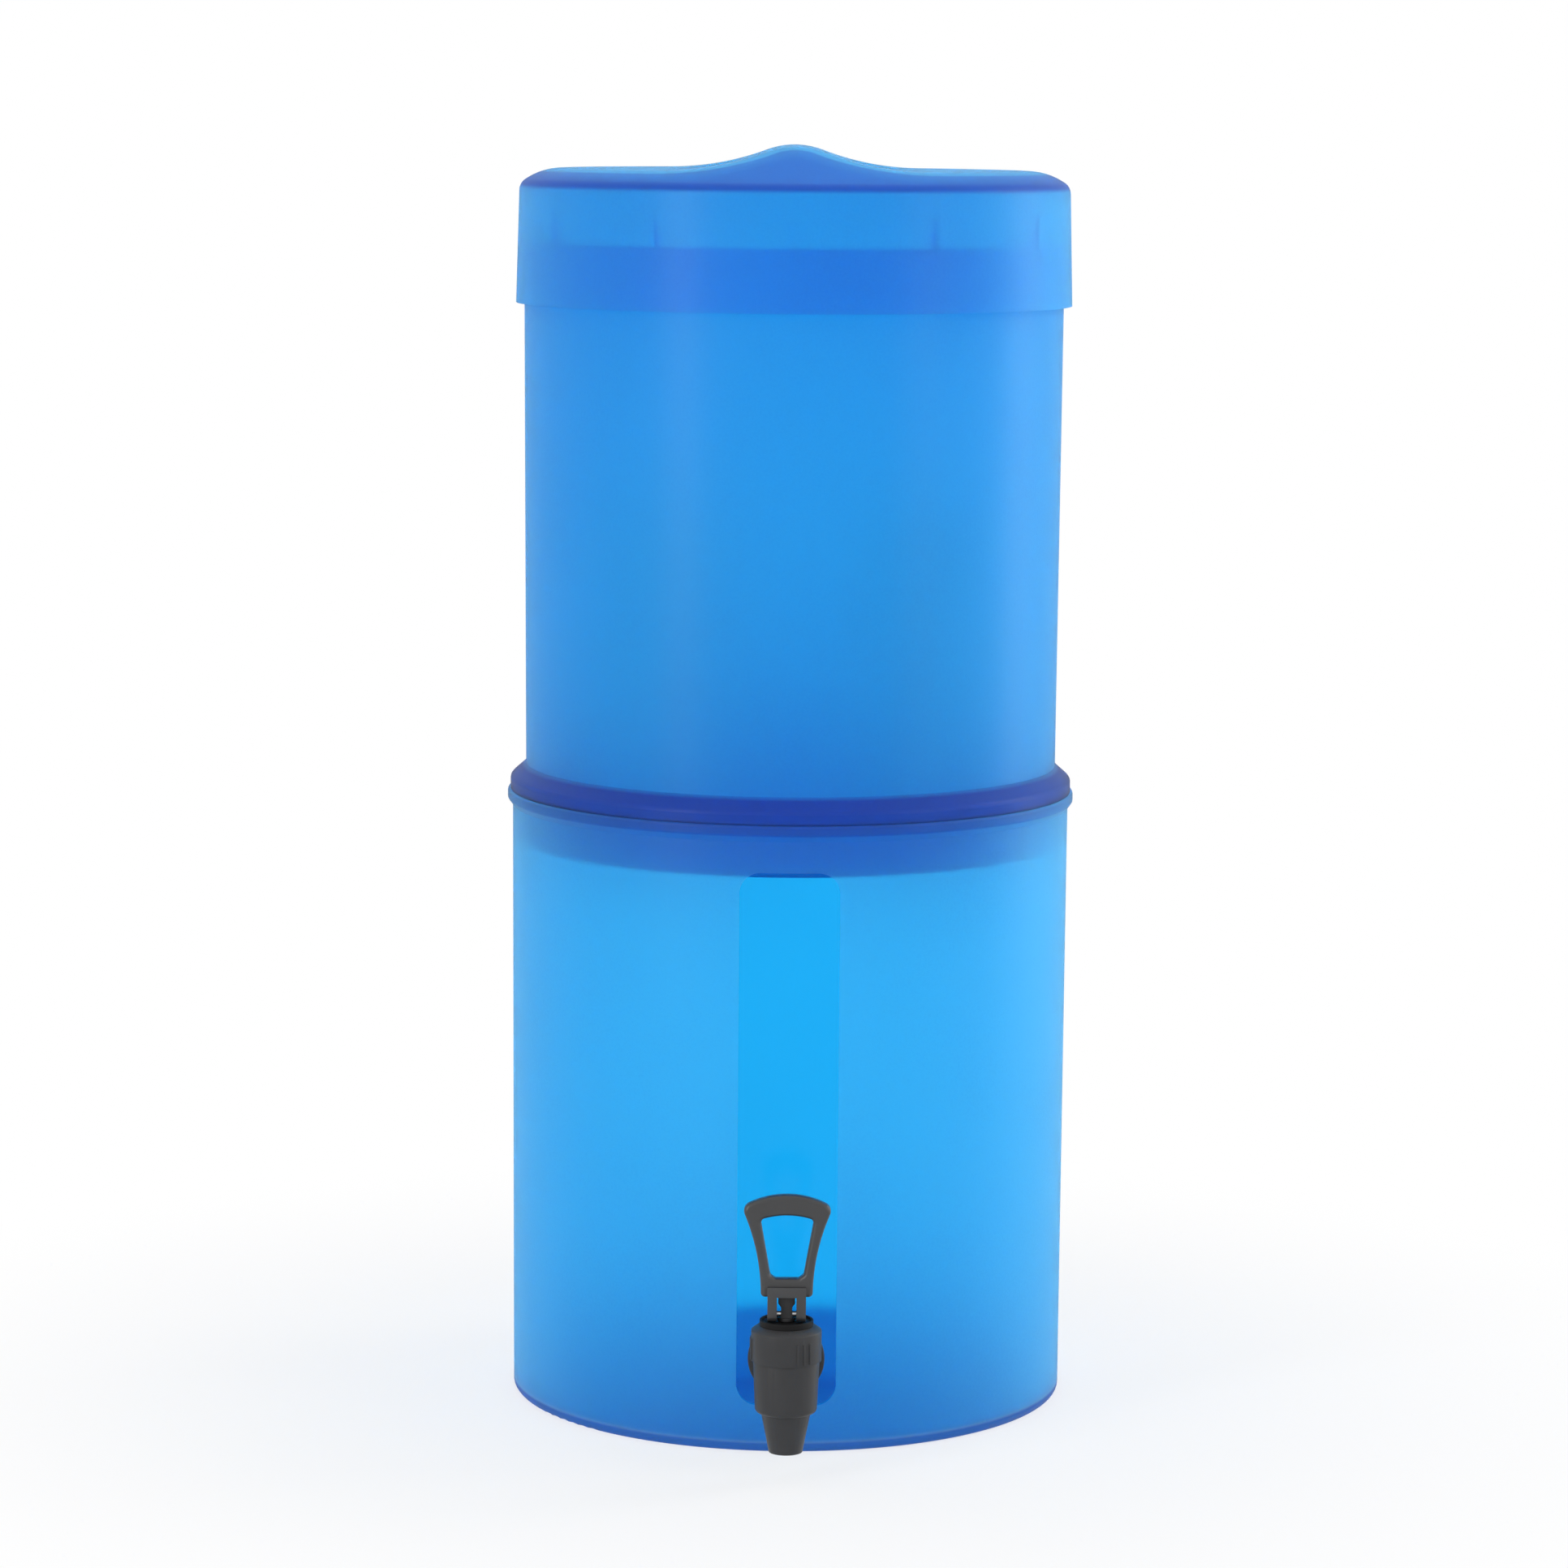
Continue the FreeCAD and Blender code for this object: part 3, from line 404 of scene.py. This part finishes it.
@dataclass(frozen=True)
class FrostedPolypropylene:
    """Tinted polypropylene, injection moulded against a spark-eroded mould.

    The mould's pebble leaves a satin grain that scatters what is behind the wall,
    so light comes through in soft bands and only near things show, with no outline.

    Attributes:
        name: The material's name.
        tint: What one wall lets through, as sRGB hex.
        deep: What a thick section lets through, as sRGB hex; the bands and the brow also use it as
            painted shade.
        transmission: The share of light that goes through and isn't scattered back.
        roughness: How strongly the grain blurs.
        ior: Its refractive index, below the solid plastic's 1.49 because the grain
            takes the edge off its gloss.
        coat: The share of a faint gloss that lies over the grain.
        coat_roughness: How strongly that gloss blurs.
        flow: How wide the slow changes of tint are, in millimetres.
        drift: How deep the tint is at their two ends. Below 0 it makes the pits
            lighter, and the sum of the two never falls under 0.
        grain: The pebble's width, in millimetres; drawn coarser than the real
            0.3 mm so that it still shows.
        pits: How deep the tint is in the pebble's pits.
        pit_edges: Where in the pebble's pattern the pits begin and end.
        relief: The pebble's height, in millimetres.
        bump: How much of it the light shows.
        bands: Rings of thicker plastic, and rings darkened with painted shade.
        brow: The lid's sloping brow, darkened with painted shade, where there is one.
        window: The polished strip, where there is one.
    """

    name: str
    tint: str = "#6CDBFD"
    deep: str = "#0F66C6"
    transmission: float = 0.97
    roughness: float = 0.72
    ior: float = 1.32
    coat: float = 0.16
    coat_roughness: float = 0.3
    flow: float = 71.4
    drift: tuple[float, float] = (-0.1, 0.04)
    grain: float = 1.1
    pits: float = 0.08
    pit_edges: tuple[float, float] = (0.3, 0.7)
    relief: float = 0.12
    bump: float = 0.25
    bands: tuple[DeepAndShadedBand, ...] = ()
    brow: ShadedBrow | None = None
    window: SightWindow | None = None

    def colour(self, tree: Tree, place: Any, pebble: Any) -> Any:
        """Lay the tint, with its slow changes, its pits, its deep places and its painted shade.

        Args:
            tree: The node tree to add to.
            place: The socket with the object coordinates.
            pebble: The socket with the pebble's pattern.

        Returns:
            The colour's socket.
        """
        drift = map_range(tree, add_noise(tree, place, self.flow), *self.drift)
        pits = map_range(tree, pebble, 0.0, self.pits, *self.pit_edges)
        spread = add_math(tree, "ADD", drift, pits, clamp=True)
        colour = mix_colours(tree, spread, linear(self.tint), linear(self.deep))
        # painted shade: the brow mixes in the deep tint, as the upturned brow looks darker
        if self.brow is not None:
            colour = mix_colours(tree, self.brow.mask(tree, place), colour, linear(self.deep))
        height = add_node(tree, "ShaderNodeSeparateXYZ", {0: place}).outputs["Z"]
        # The bands mix in the deep tint, for thicker plastic and as painted shade.
        for band in self.bands:
            colour = mix_colours(tree, band.mask(tree, height), colour, linear(self.deep))
        return colour

    def build(self) -> bpy.types.Material:
        """Make the material.

        Returns:
            The frosted plastic, with its window where there is one.
        """
        material, tree = new_tree(self.name)
        place = object_place(tree)
        pebble = add_noise(tree, place, self.grain, detail=1.5)
        inputs: Inputs = {
            "Base Color": self.colour(tree, place, pebble),
            "Roughness": self.roughness,
            "IOR": self.ior,
            "Transmission Weight": self.transmission,
            "Coat Weight": self.coat,
            "Coat Roughness": self.coat_roughness,
            "Normal": add_relief(tree, pebble, self.relief, self.bump),
        }
        surface = principled(tree, inputs)
        if self.window is not None:
            mask = self.window.mask(tree, place)
            surface = mix_shaders(tree, mask, surface, self.window.surface(tree))
        show(tree, surface)
        return material


@dataclass(frozen=True)
class MouldedPlastic:
    """An opaque moulded plastic or rubber with a fine eroded texture.

    Soft patches of a second shade and of uneven gloss keep it from looking flat.

    Attributes:
        name: The material's name.
        colour: Its colour as sRGB hex.
        shade: The colour it drifts to in patches, as sRGB hex.
        roughness: Its mean roughness.
        uneven: How far its roughness strays from the mean.
        patch: The patches' width, in millimetres.
        grain: The texture's width, in millimetres.
        relief: The texture's height, in millimetres.
        bump: How much of the texture the light shows.
        sheen: Its specular level.
        polished_from: The height above which the mould was polished, in millimetres.
        polish: The roughness there.
        polish_fade: How far below it the polish sets in, in millimetres.
    """

    name: str
    colour: str
    shade: str
    roughness: float = 0.4
    uneven: float = 0.06
    patch: float = 11.1
    grain: float = 0.5
    relief: float = 0.02
    bump: float = 0.5
    sheen: float = 0.5
    polished_from: float | None = None
    polish: float = 0.3
    polish_fade: float = 0.5

    def gloss(self, tree: Tree, place: Any, patches: Any) -> Any:
        """Work out the roughness.

        Args:
            tree: The node tree to add to.
            place: The socket with the object coordinates.
            patches: The socket with the patches' pattern.

        Returns:
            The roughness's socket.
        """
        rough = map_range(tree, patches, self.roughness - self.uneven, self.roughness + self.uneven)
        if self.polished_from is None:
            return rough
        height = add_node(tree, "ShaderNodeSeparateXYZ", {0: place}).outputs["Z"]
        low = (self.polished_from - self.polish_fade) * MM
        mask = smooth_step(tree, height, low, self.polished_from * MM)
        return add_node(tree, "ShaderNodeMix", {0: mask, 2: rough, 3: self.polish}).outputs[0]

    def build(self) -> bpy.types.Material:
        """Make the material.

        Returns:
            The moulded plastic or rubber.
        """
        material, tree = new_tree(self.name)
        place = object_place(tree)
        patches = add_noise(tree, place, self.patch, detail=3.0)
        texture = add_noise(tree, place, self.grain)
        inputs: Inputs = {
            "Base Color": mix_colours(tree, patches, linear(self.colour), linear(self.shade)),
            "Roughness": self.gloss(tree, place, patches),
            "Specular IOR Level": self.sheen,
            "Normal": add_relief(tree, texture, self.relief, self.bump),
        }
        show(tree, principled(tree, inputs))
        return material


@dataclass(frozen=True)
class Granular:
    """A dry, grainy body, such as slip-cast ceramic or packed carbon.

    Cells of another shade stand a little proud, so it looks rough and dusty.

    Attributes:
        name: The material's name.
        colour: Its colour as sRGB hex.
        speck: The colour of its grains, as sRGB hex.
        grain: The grains' width, in millimetres.
        relief: The grains' height, in millimetres.
        speck_edges: Where in a grain its colour begins and ends to fade.
        bump: How much of the relief the light shows.
        roughness: Its roughness.
    """

    name: str
    colour: str
    speck: str
    grain: float
    relief: float
    speck_edges: tuple[float, float] = (0.25, 0.75)
    bump: float = 0.6
    roughness: float = 0.85

    def build(self) -> bpy.types.Material:
        """Make the material.

        Returns:
            The grainy material.
        """
        material, tree = new_tree(self.name)
        cells: Inputs = {"Vector": object_place(tree), "Scale": 1 / (self.grain * MM)}
        grains = add_node(tree, "ShaderNodeTexVoronoi", cells).outputs["Distance"]
        specks = smooth_step(tree, grains, *self.speck_edges)
        inputs: Inputs = {
            "Base Color": mix_colours(tree, specks, linear(self.speck), linear(self.colour)),
            "Roughness": self.roughness,
            "Normal": add_relief(tree, grains, self.relief, self.bump),
        }
        show(tree, principled(tree, inputs))
        return material


@dataclass(frozen=True)
class DrawnSteel:
    """Stainless steel wire or rod, with an uneven gloss from being drawn through a die.

    Attributes:
        name: The material's name.
        colour: Its reflection's colour as sRGB hex.
        streak: The width of its brighter and duller spots, in millimetres.
        gloss: Its roughness where it is brightest and dullest.
    """

    name: str = "stainless_steel"
    colour: str = "#C4C6C8"
    streak: float = 0.4
    gloss: tuple[float, float] = (0.2, 0.4)

    def build(self) -> bpy.types.Material:
        """Make the material.

        Returns:
            The steel.
        """
        material, tree = new_tree(self.name)
        streaks = add_noise(tree, object_place(tree), self.streak)
        inputs: Inputs = {
            "Base Color": linear(self.colour),
            "Metallic": 1.0,
            "Roughness": map_range(tree, streaks, *self.gloss),
        }
        show(tree, principled(tree, inputs))
        return material


def dress(nodes: Iterable[str], material: bpy.types.Material) -> None:
    """Give CAD nodes a material.

    Args:
        nodes: The nodes' names.
        material: The material.
    """
    for name in nodes:
        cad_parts[name].material_slots[0].material = material
        LOG.info("dressed %s in %s", name, material.name)


def select_only(piece: bpy.types.Object) -> None:
    """Make one object the active and only selected one.

    Args:
        piece: The object.
    """
    bpy.ops.object.select_all(action="DESELECT")
    piece.select_set(True)
    bpy.context.view_layer.objects.active = piece


def settle(piece: bpy.types.Object) -> None:
    """Put an object's place, turn and scale into its mesh."""
    select_only(piece)
    bpy.ops.object.transform_apply(location=True, rotation=True, scale=True)


@dataclass(frozen=True)
class Moulding:
    """A CAD node whose sharp edges are rounded, as a mould rounds them.

    Attributes:
        node: The CAD node.
        name: The new piece's name.
        width: The rounding's width, in millimetres.
        body: The body that it moves with.
        segments: How many faces the rounding has across.
        weld: How near two corners are joined, in millimetres.
        flat: The angle under which neighbouring faces become one, in degrees.
        sharp: The angle above which an edge is rounded, in degrees.
        smooth: The angle up to which faces are shaded as one, in degrees.
    """

    node: str
    name: str
    width: float
    body: Body
    segments: int = 2
    weld: float = 0.002
    flat: float = 1.0
    sharp: float = 35.0
    smooth: float = 40.0

    def build(self, finish: bpy.types.Material) -> None:
        """Make the piece in place of its CAD node.

        Args:
            finish: Its material.
        """
        piece = bpy.data.objects.new(self.name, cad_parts[self.node].data.copy())
        bpy.context.scene.collection.objects.link(piece)
        select_only(piece)
        bpy.ops.object.mode_set(mode="EDIT")
        bpy.ops.mesh.select_all(action="SELECT")
        bpy.ops.mesh.remove_doubles(threshold=self.weld * MM)
        bpy.ops.mesh.dissolve_limited(angle_limit=math.radians(self.flat))
        bpy.ops.object.mode_set(mode="OBJECT")
        rounding = piece.modifiers.new("rounding", "BEVEL")
        rounding.width = self.width * MM
        rounding.segments = self.segments
        rounding.limit_method = "ANGLE"
        rounding.angle_limit = math.radians(self.sharp)
        bpy.ops.object.modifier_apply(modifier=rounding.name)
        bpy.ops.object.shade_smooth_by_angle(angle=math.radians(self.smooth))
        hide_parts(self.node)
        piece.data.materials.clear()
        piece.data.materials.append(finish)
        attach(piece, self.body.value)
        LOG.info("rounded %s", self.name)


@dataclass
class Containers:
    """The two tapered containers and their lid.

    Attributes:
        base: The lower container's thick floor, whose band is deeper for the thick plastic and darkened
            with painted shade.
        rim: Its beaded rim.
        collar: The upper container's thick collar, whose band is deeper for the thick plastic and
            darkened with painted shade.
        spigot: Its spigot, which stands in the rim and whose floor closes it; its band is painted
            shade, where the lower container's wall lets little light reach it.
        crease: The fold below the lid's brow, darkened as a line of painted shade.
        brow: The lid's brow, darkened with painted shade.
        window: The sight window in the lower container's wall.
    """

    # partly painted shade: the base band also darkens the wall where the floor keeps the light from
    # inside off it
    base: DeepAndShadedBand = DeepAndShadedBand(-1.0, 3.6, 1.5)
    rim: DeepAndShadedBand = DeepAndShadedBand(266.0, 270.0, 1.0, 0.5)
    # partly painted shade: the collar's band is also darkened where the floor and the walls keep light
    # out
    collar: DeepAndShadedBand = DeepAndShadedBand(270.0, 279.5, 1.5, 0.92)
    # painted shade: the spigot's band darkens where it stands inside the rim
    spigot: DeepAndShadedBand = DeepAndShadedBand(247.3, 268.5, 1.0, 0.32)
    # painted shade: a dark line along the fold below the brow
    crease: DeepAndShadedBand = DeepAndShadedBand(534.6, 535.6, 2.0, 0.85)
    brow: ShadedBrow = ShadedBrow()
    window: SightWindow = SightWindow()

    def dress(self) -> None:
        """Give the containers and the lid their frosted plastic."""
        lower = FrostedPolypropylene(
            "frosted_polypropylene_lower",
            bands=(self.base, self.rim),
            window=self.window,
        )
        upper = FrostedPolypropylene(
            "frosted_polypropylene_upper",
            tint="#50CBF6",
            bands=(self.collar, self.spigot),
        )
        lid = FrostedPolypropylene(
            "frosted_polypropylene_lid",
            tint="#56D1F8",
            bands=(self.crease,),
            brow=self.brow,
        )
        dress([Body.LOWER.value], lower.build())
        dress([Body.UPPER.value], upper.build())
        dress([Body.LID.value], lid.build())


@dataclass
class FilterCandles:
    """The two ceramic candles with their bases, gaskets, washers and wing nuts.

    Attributes:
        sides: The sides they stand on, as their nodes' names end.
    """

    sides: tuple[str, str] = ("left", "right")

    def pair(self, piece: str) -> list[str]:
        """Name a piece's two nodes."""
        return [f"{piece}_{side}" for side in self.sides]

    def dress(self) -> None:
        """Give every piece of the candles its material."""
        ceramic = Granular("slip_cast_ceramic", "#EFEDE6", "#DAD6CA", grain=0.8, relief=0.03)
        carbon = Granular("granular_carbon", "#232325", "#0E0E0F", grain=1.2, relief=0.3)
        base = MouldedPlastic("white_polypropylene", "#E9E9E5", "#DEDEDA", roughness=0.38)
        silicone = MouldedPlastic(
            "white_silicone", "#DFE2E1", "#D3D7D6", roughness=0.5, relief=0.01
        )
        dress(self.pair("candle_ceramic"), ceramic.build())
        dress(self.pair("carbon_core"), carbon.build())
        dress(self.pair("candle_base") + ["wing_nuts"], base.build())
        dress(self.pair("candle_gasket") + ["floor_washers"], silicone.build())


@dataclass
class ReturnSpring:
    """The coil spring round the valve stem.

    Attributes:
        axis: Where its upright axis is along Y, in millimetres.
        radius: Its radius to the wire's centre, in millimetres.
        wire: The wire's radius, in millimetres.
        low: Height of the wire's centre at the lower end, in millimetres.
        high: Height of the wire's centre at the upper end, in millimetres.
        turns: How many turns it has.
        lift: How far the stem rises and shortens it, in millimetres; not used.
        sides: How many corners the wire's section has.
        steps: How many sections a turn has.
        smooth: The angle up to which faces are shaded as one, in degrees.
    """

    axis: float = -164.297
    radius: float = 5.4
    wire: float = 0.5
    low: float = 38.9
    high: float = 61.3
    turns: int = 7
    lift: float = 2.95
    sides: int = 16
    steps: int = 32
    smooth: float = 50.0

    def section(self) -> bpy.types.Object:
        """Lay out the wire's round section at the coil's radius.

        Returns:
            The section, an upright ring without a face.
        """
        bpy.ops.object.select_all(action="DESELECT")
        bpy.ops.mesh.primitive_circle_add(
            vertices=self.sides, radius=self.wire * MM, fill_type="NGON"
        )
        spring = bpy.context.object
        spring.name = "return_spring_coil"
        bpy.ops.object.mode_set(mode="EDIT")
        bpy.ops.mesh.select_all(action="SELECT")
        bpy.ops.transform.rotate(
            value=math.pi / 2, orient_axis="X", center_override=(0.0, 0.0, 0.0)
        )
        bpy.ops.transform.translate(value=(self.radius * MM, 0.0, 0.0))
        bpy.ops.mesh.delete(type="ONLY_FACE")
        bpy.ops.object.mode_set(mode="OBJECT")
        return spring

    def wind(self) -> bpy.types.Object:
        """Wind the section into the coil and close its ends.

        Returns:
            The spring, in place round the valve stem.
        """
        spring = self.section()
        winding = spring.modifiers.new("winding", "SCREW")
        winding.angle = math.tau
        winding.screw_offset = (self.high - self.low) / self.turns * MM
        winding.iterations = self.turns
        winding.steps = winding.render_steps = self.steps
        winding.use_merge_vertices = True
        bpy.ops.object.modifier_apply(modifier=winding.name)
        bpy.ops.object.mode_set(mode="EDIT")
        bpy.ops.mesh.select_all(action="DESELECT")
        bpy.ops.mesh.select_non_manifold()
        bpy.ops.mesh.fill()
        bpy.ops.mesh.select_all(action="SELECT")
        bpy.ops.mesh.normals_make_consistent(inside=False)
        bpy.ops.object.mode_set(mode="OBJECT")
        spring.location = (0.0, self.axis * MM, self.low * MM)
        settle(spring)
        bpy.ops.object.shade_smooth_by_angle(angle=math.radians(self.smooth))
        return spring

    def build(self, finish: bpy.types.Material) -> None:
        """Make the spring, which moves with the lower container and keeps its length when the stem
        rises, though the real one shortens towards its upper seat.

        Args:
            finish: Its material.
        """
        spring = self.wind()
        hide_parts("return_spring")
        spring.data.materials.append(finish)
        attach(spring, Body.LOWER.value)
        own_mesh(spring)
        LOG.info("wound %s", spring.name)


@dataclass
class DispenserTap:
    """The loop-handle tap.

    Attributes:
        yoke_top: Height of the handle's matt yoke, below its polished loop, in millimetres.
        spring: The return spring.
        rubbers: The nodes of rubber.
        mouldings: The pieces of grey plastic that keep one finish all over.
        handle: The handle, whose loop is polished.
    """

    yoke_top: float = 83.4
    rubbers: tuple[str, ...] = (
        "outer_gasket",
        "inner_gasket",
        "bumper_ring",
        "stem_seal",
        "valve_plug",
    )
    mouldings: tuple[Moulding, ...] = (
        Moulding("tap_body", "tap_body_shell", 0.25, Body.LOWER),
        Moulding("tap_bonnet", "tap_bonnet_cap", 0.3, Body.LOWER),
        Moulding("shank_nut", "shank_nut_hexagon", 0.5, Body.LOWER),
        Moulding("tap_stem", "tap_stem_rod", 0.2, Body.STEM),
    )
    handle: Moulding = Moulding("tap_handle", "tap_handle_loop", 0.3, Body.HANDLE)

    def build(self) -> None:
        """Make and dress the tap's pieces."""
        grey = MouldedPlastic(
            "dark_grey_abs",
            "#3B3B3C",
            "#343435",
            roughness=0.46,
            grain=0.6,
            relief=0.015,
            sheen=0.25,
        ).build()
        polished = MouldedPlastic(
            "polished_dark_grey_abs",
            "#3A3A3B",
            "#343435",
            roughness=0.46,
            grain=0.6,
            relief=0.004,
            polished_from=self.yoke_top,
        ).build()
        rubber = MouldedPlastic(
            "black_nitrile_rubber", "#0E0E0E", "#0A0A0B", roughness=0.62, relief=0.01, sheen=0.2
        ).build()
        steel = DrawnSteel().build()
        dress(self.rubbers, rubber)
        dress(["hinge_pin"], steel)
        ReturnSpring().build(steel)
        for moulding in self.mouldings:
            moulding.build(grey)
        self.handle.build(polished)


@dataclass(frozen=True)
class Softbox:
    """A soft rectangular lamp.

    Attributes:
        name: Its name.
        place: Where it hangs, in metres.
        size: Its width and height, in metres.
        power: Its power, in watts.
    """

    name: str
    place: tuple[float, float, float]
    size: tuple[float, float]
    power: float

    def hang(self, target: Vector) -> None:
        """Hang the lamp where the camera doesn't see it.

        Args:
            target: What it faces, in metres.
        """
        bpy.ops.object.light_add(type="AREA", location=self.place)
        lamp = bpy.context.object
        lamp.name = self.name
        lamp.data.shape = "RECTANGLE"
        lamp.data.size, lamp.data.size_y = self.size
        lamp.data.energy = self.power
        lamp.visible_camera = False
        aim = target - Vector(self.place)
        lamp.rotation_euler = aim.to_track_quat("-Z", "Y").to_euler()


@dataclass
class Studio:
    """The plain floor, the soft light and the camera.

    Attributes:
        distance: How far the camera stands in front of the origin, in millimetres.
        height: The camera's height above the floor, in millimetres.
        aside: How far the camera stands to the right, in millimetres.
        pitch: How far it looks down, in degrees.
        roll: How far it is turned about its own axis, in degrees.
        lens: Its focal length, in millimetres.
        sensor: Its sensor's width, in millimetres.
        far: How far it sees, in metres.
        floor_size: The floor's length and width, in metres.
        paper: The floor's colour as sRGB hex.
        paper_glow: How much of the floor's look near the object is plain white.
        shadow_reach: The distances between which the shadow fades out, in metres.
        sky: The colour of the light from all round, as sRGB hex.
        sky_light: Its strength.
        middle: Height of the object's middle, which the lamps face, in metres.
        lamps: The lamps.
    """

    distance: float = 2176.0
    height: float = 565.0
    aside: float = -2.8
    pitch: float = 7.69
    roll: float = 0.45
    lens: float = 113.7
    sensor: float = 36.0
    far: float = 50.0
    floor_size: float = 60.0
    paper: str = "#F6F6F6"
    paper_glow: float = 0.7
    shadow_reach: tuple[float, float] = (0.16, 0.5)
    sky: str = "#F4F7FB"
    sky_light: float = 0.6
    middle: float = 0.28
    lamps: tuple[Softbox, ...] = (
        Softbox("key_softbox", (-1.35, -1.3, 0.8), (0.45, 1.5), 13.0),
        Softbox("fill_softbox", (1.7, -1.2, 0.8), (0.6, 1.5), 7.0),
        Softbox("side_softbox", (1.5, 0.5, 0.7), (0.6, 1.5), 10.0),
        Softbox("top_softbox", (0.0, 0.3, 2.2), (1.4, 1.4), 5.0),
    )

    def camera(self) -> None:
        """Set up the camera at the photograph's view."""
        bpy.ops.object.camera_add()
        camera = bpy.context.object
        camera.name = "camera"
        camera.data.lens = self.lens
        camera.data.sensor_width = self.sensor
        camera.data.clip_end = self.far
        turn = Matrix.Rotation(math.radians(90 - self.pitch), 4, "X")
        roll = Matrix.Rotation(math.radians(self.roll), 4, "Z")
        place = Matrix.Translation((self.aside * MM, -self.distance * MM, self.height * MM))
        camera.matrix_world = place @ turn @ roll
        bpy.context.scene.camera = camera

    @staticmethod
    def background_rays(tree: Tree) -> Any:
        """Tell the rays that show the white background from those that light the object.

        Args:
            tree: The node tree to add to.

        Returns:
            A socket that is 1 for camera, glossy and transmission rays, else 0.
        """
        path = add_node(tree, "ShaderNodeLightPath").outputs
        shown = add_math(tree, "MAXIMUM", path["Is Camera Ray"], path["Is Glossy Ray"])
        return add_math(tree, "MAXIMUM", shown, path["Is Transmission Ray"])

    def floor(self) -> None:
        """Lay the pale floor, which keeps the object's shadow."""
        bpy.ops.mesh.primitive_plane_add(size=self.floor_size)
        floor = bpy.context.object
        floor.name = "studio_floor"
        material, tree = new_tree("pale_paper")
        matt = add_node(tree, "ShaderNodeBsdfDiffuse", {"Color": linear(self.paper)}).outputs[0]
        white = add_node(tree, "ShaderNodeEmission", {"Color": WHITE}).outputs[0]
        away = add_length(tree, object_place(tree))
        clear = smooth_step(tree, away, *self.shadow_reach)
        keep = map_range(tree, clear, self.paper_glow, 1.0)
        share = add_math(tree, "MULTIPLY", self.background_rays(tree), keep)
        show(tree, mix_shaders(tree, share, matt, white))
        floor.data.materials.append(material)

    def world(self) -> None:
        """Surround the object with soft white light, and with white where it is seen."""
        world = bpy.data.worlds.new("studio")
        bpy.context.scene.world = world
        world.use_nodes = True
        tree = world.node_tree
        tree.nodes.clear()
        soft: Inputs = {"Color": linear(self.sky), "Strength": self.sky_light}
        lit = add_node(tree, "ShaderNodeBackground", soft).outputs[0]
        shown = add_node(tree, "ShaderNodeBackground", {"Color": WHITE, "Strength": 1.0}).outputs[0]
        mixed = mix_shaders(tree, self.background_rays(tree), lit, shown)
        add_node(tree, "ShaderNodeOutputWorld", {"Surface": mixed})

    def build(self) -> None:
        """Build the whole studio."""
        self.camera()
        self.world()
        self.floor()
        for lamp in self.lamps:
            lamp.hang(Vector((0.0, 0.0, self.middle)))
        bpy.context.scene.view_settings.view_transform = "Standard"


def main() -> None:
    """Build the looks of the whole water filter."""
    logging.basicConfig(level=logging.INFO, format="%(name)s: %(message)s")
    Studio().build()
    Containers().dress()
    FilterCandles().dress()
    DispenserTap().build()


if __name__ == "__main__":
    main()
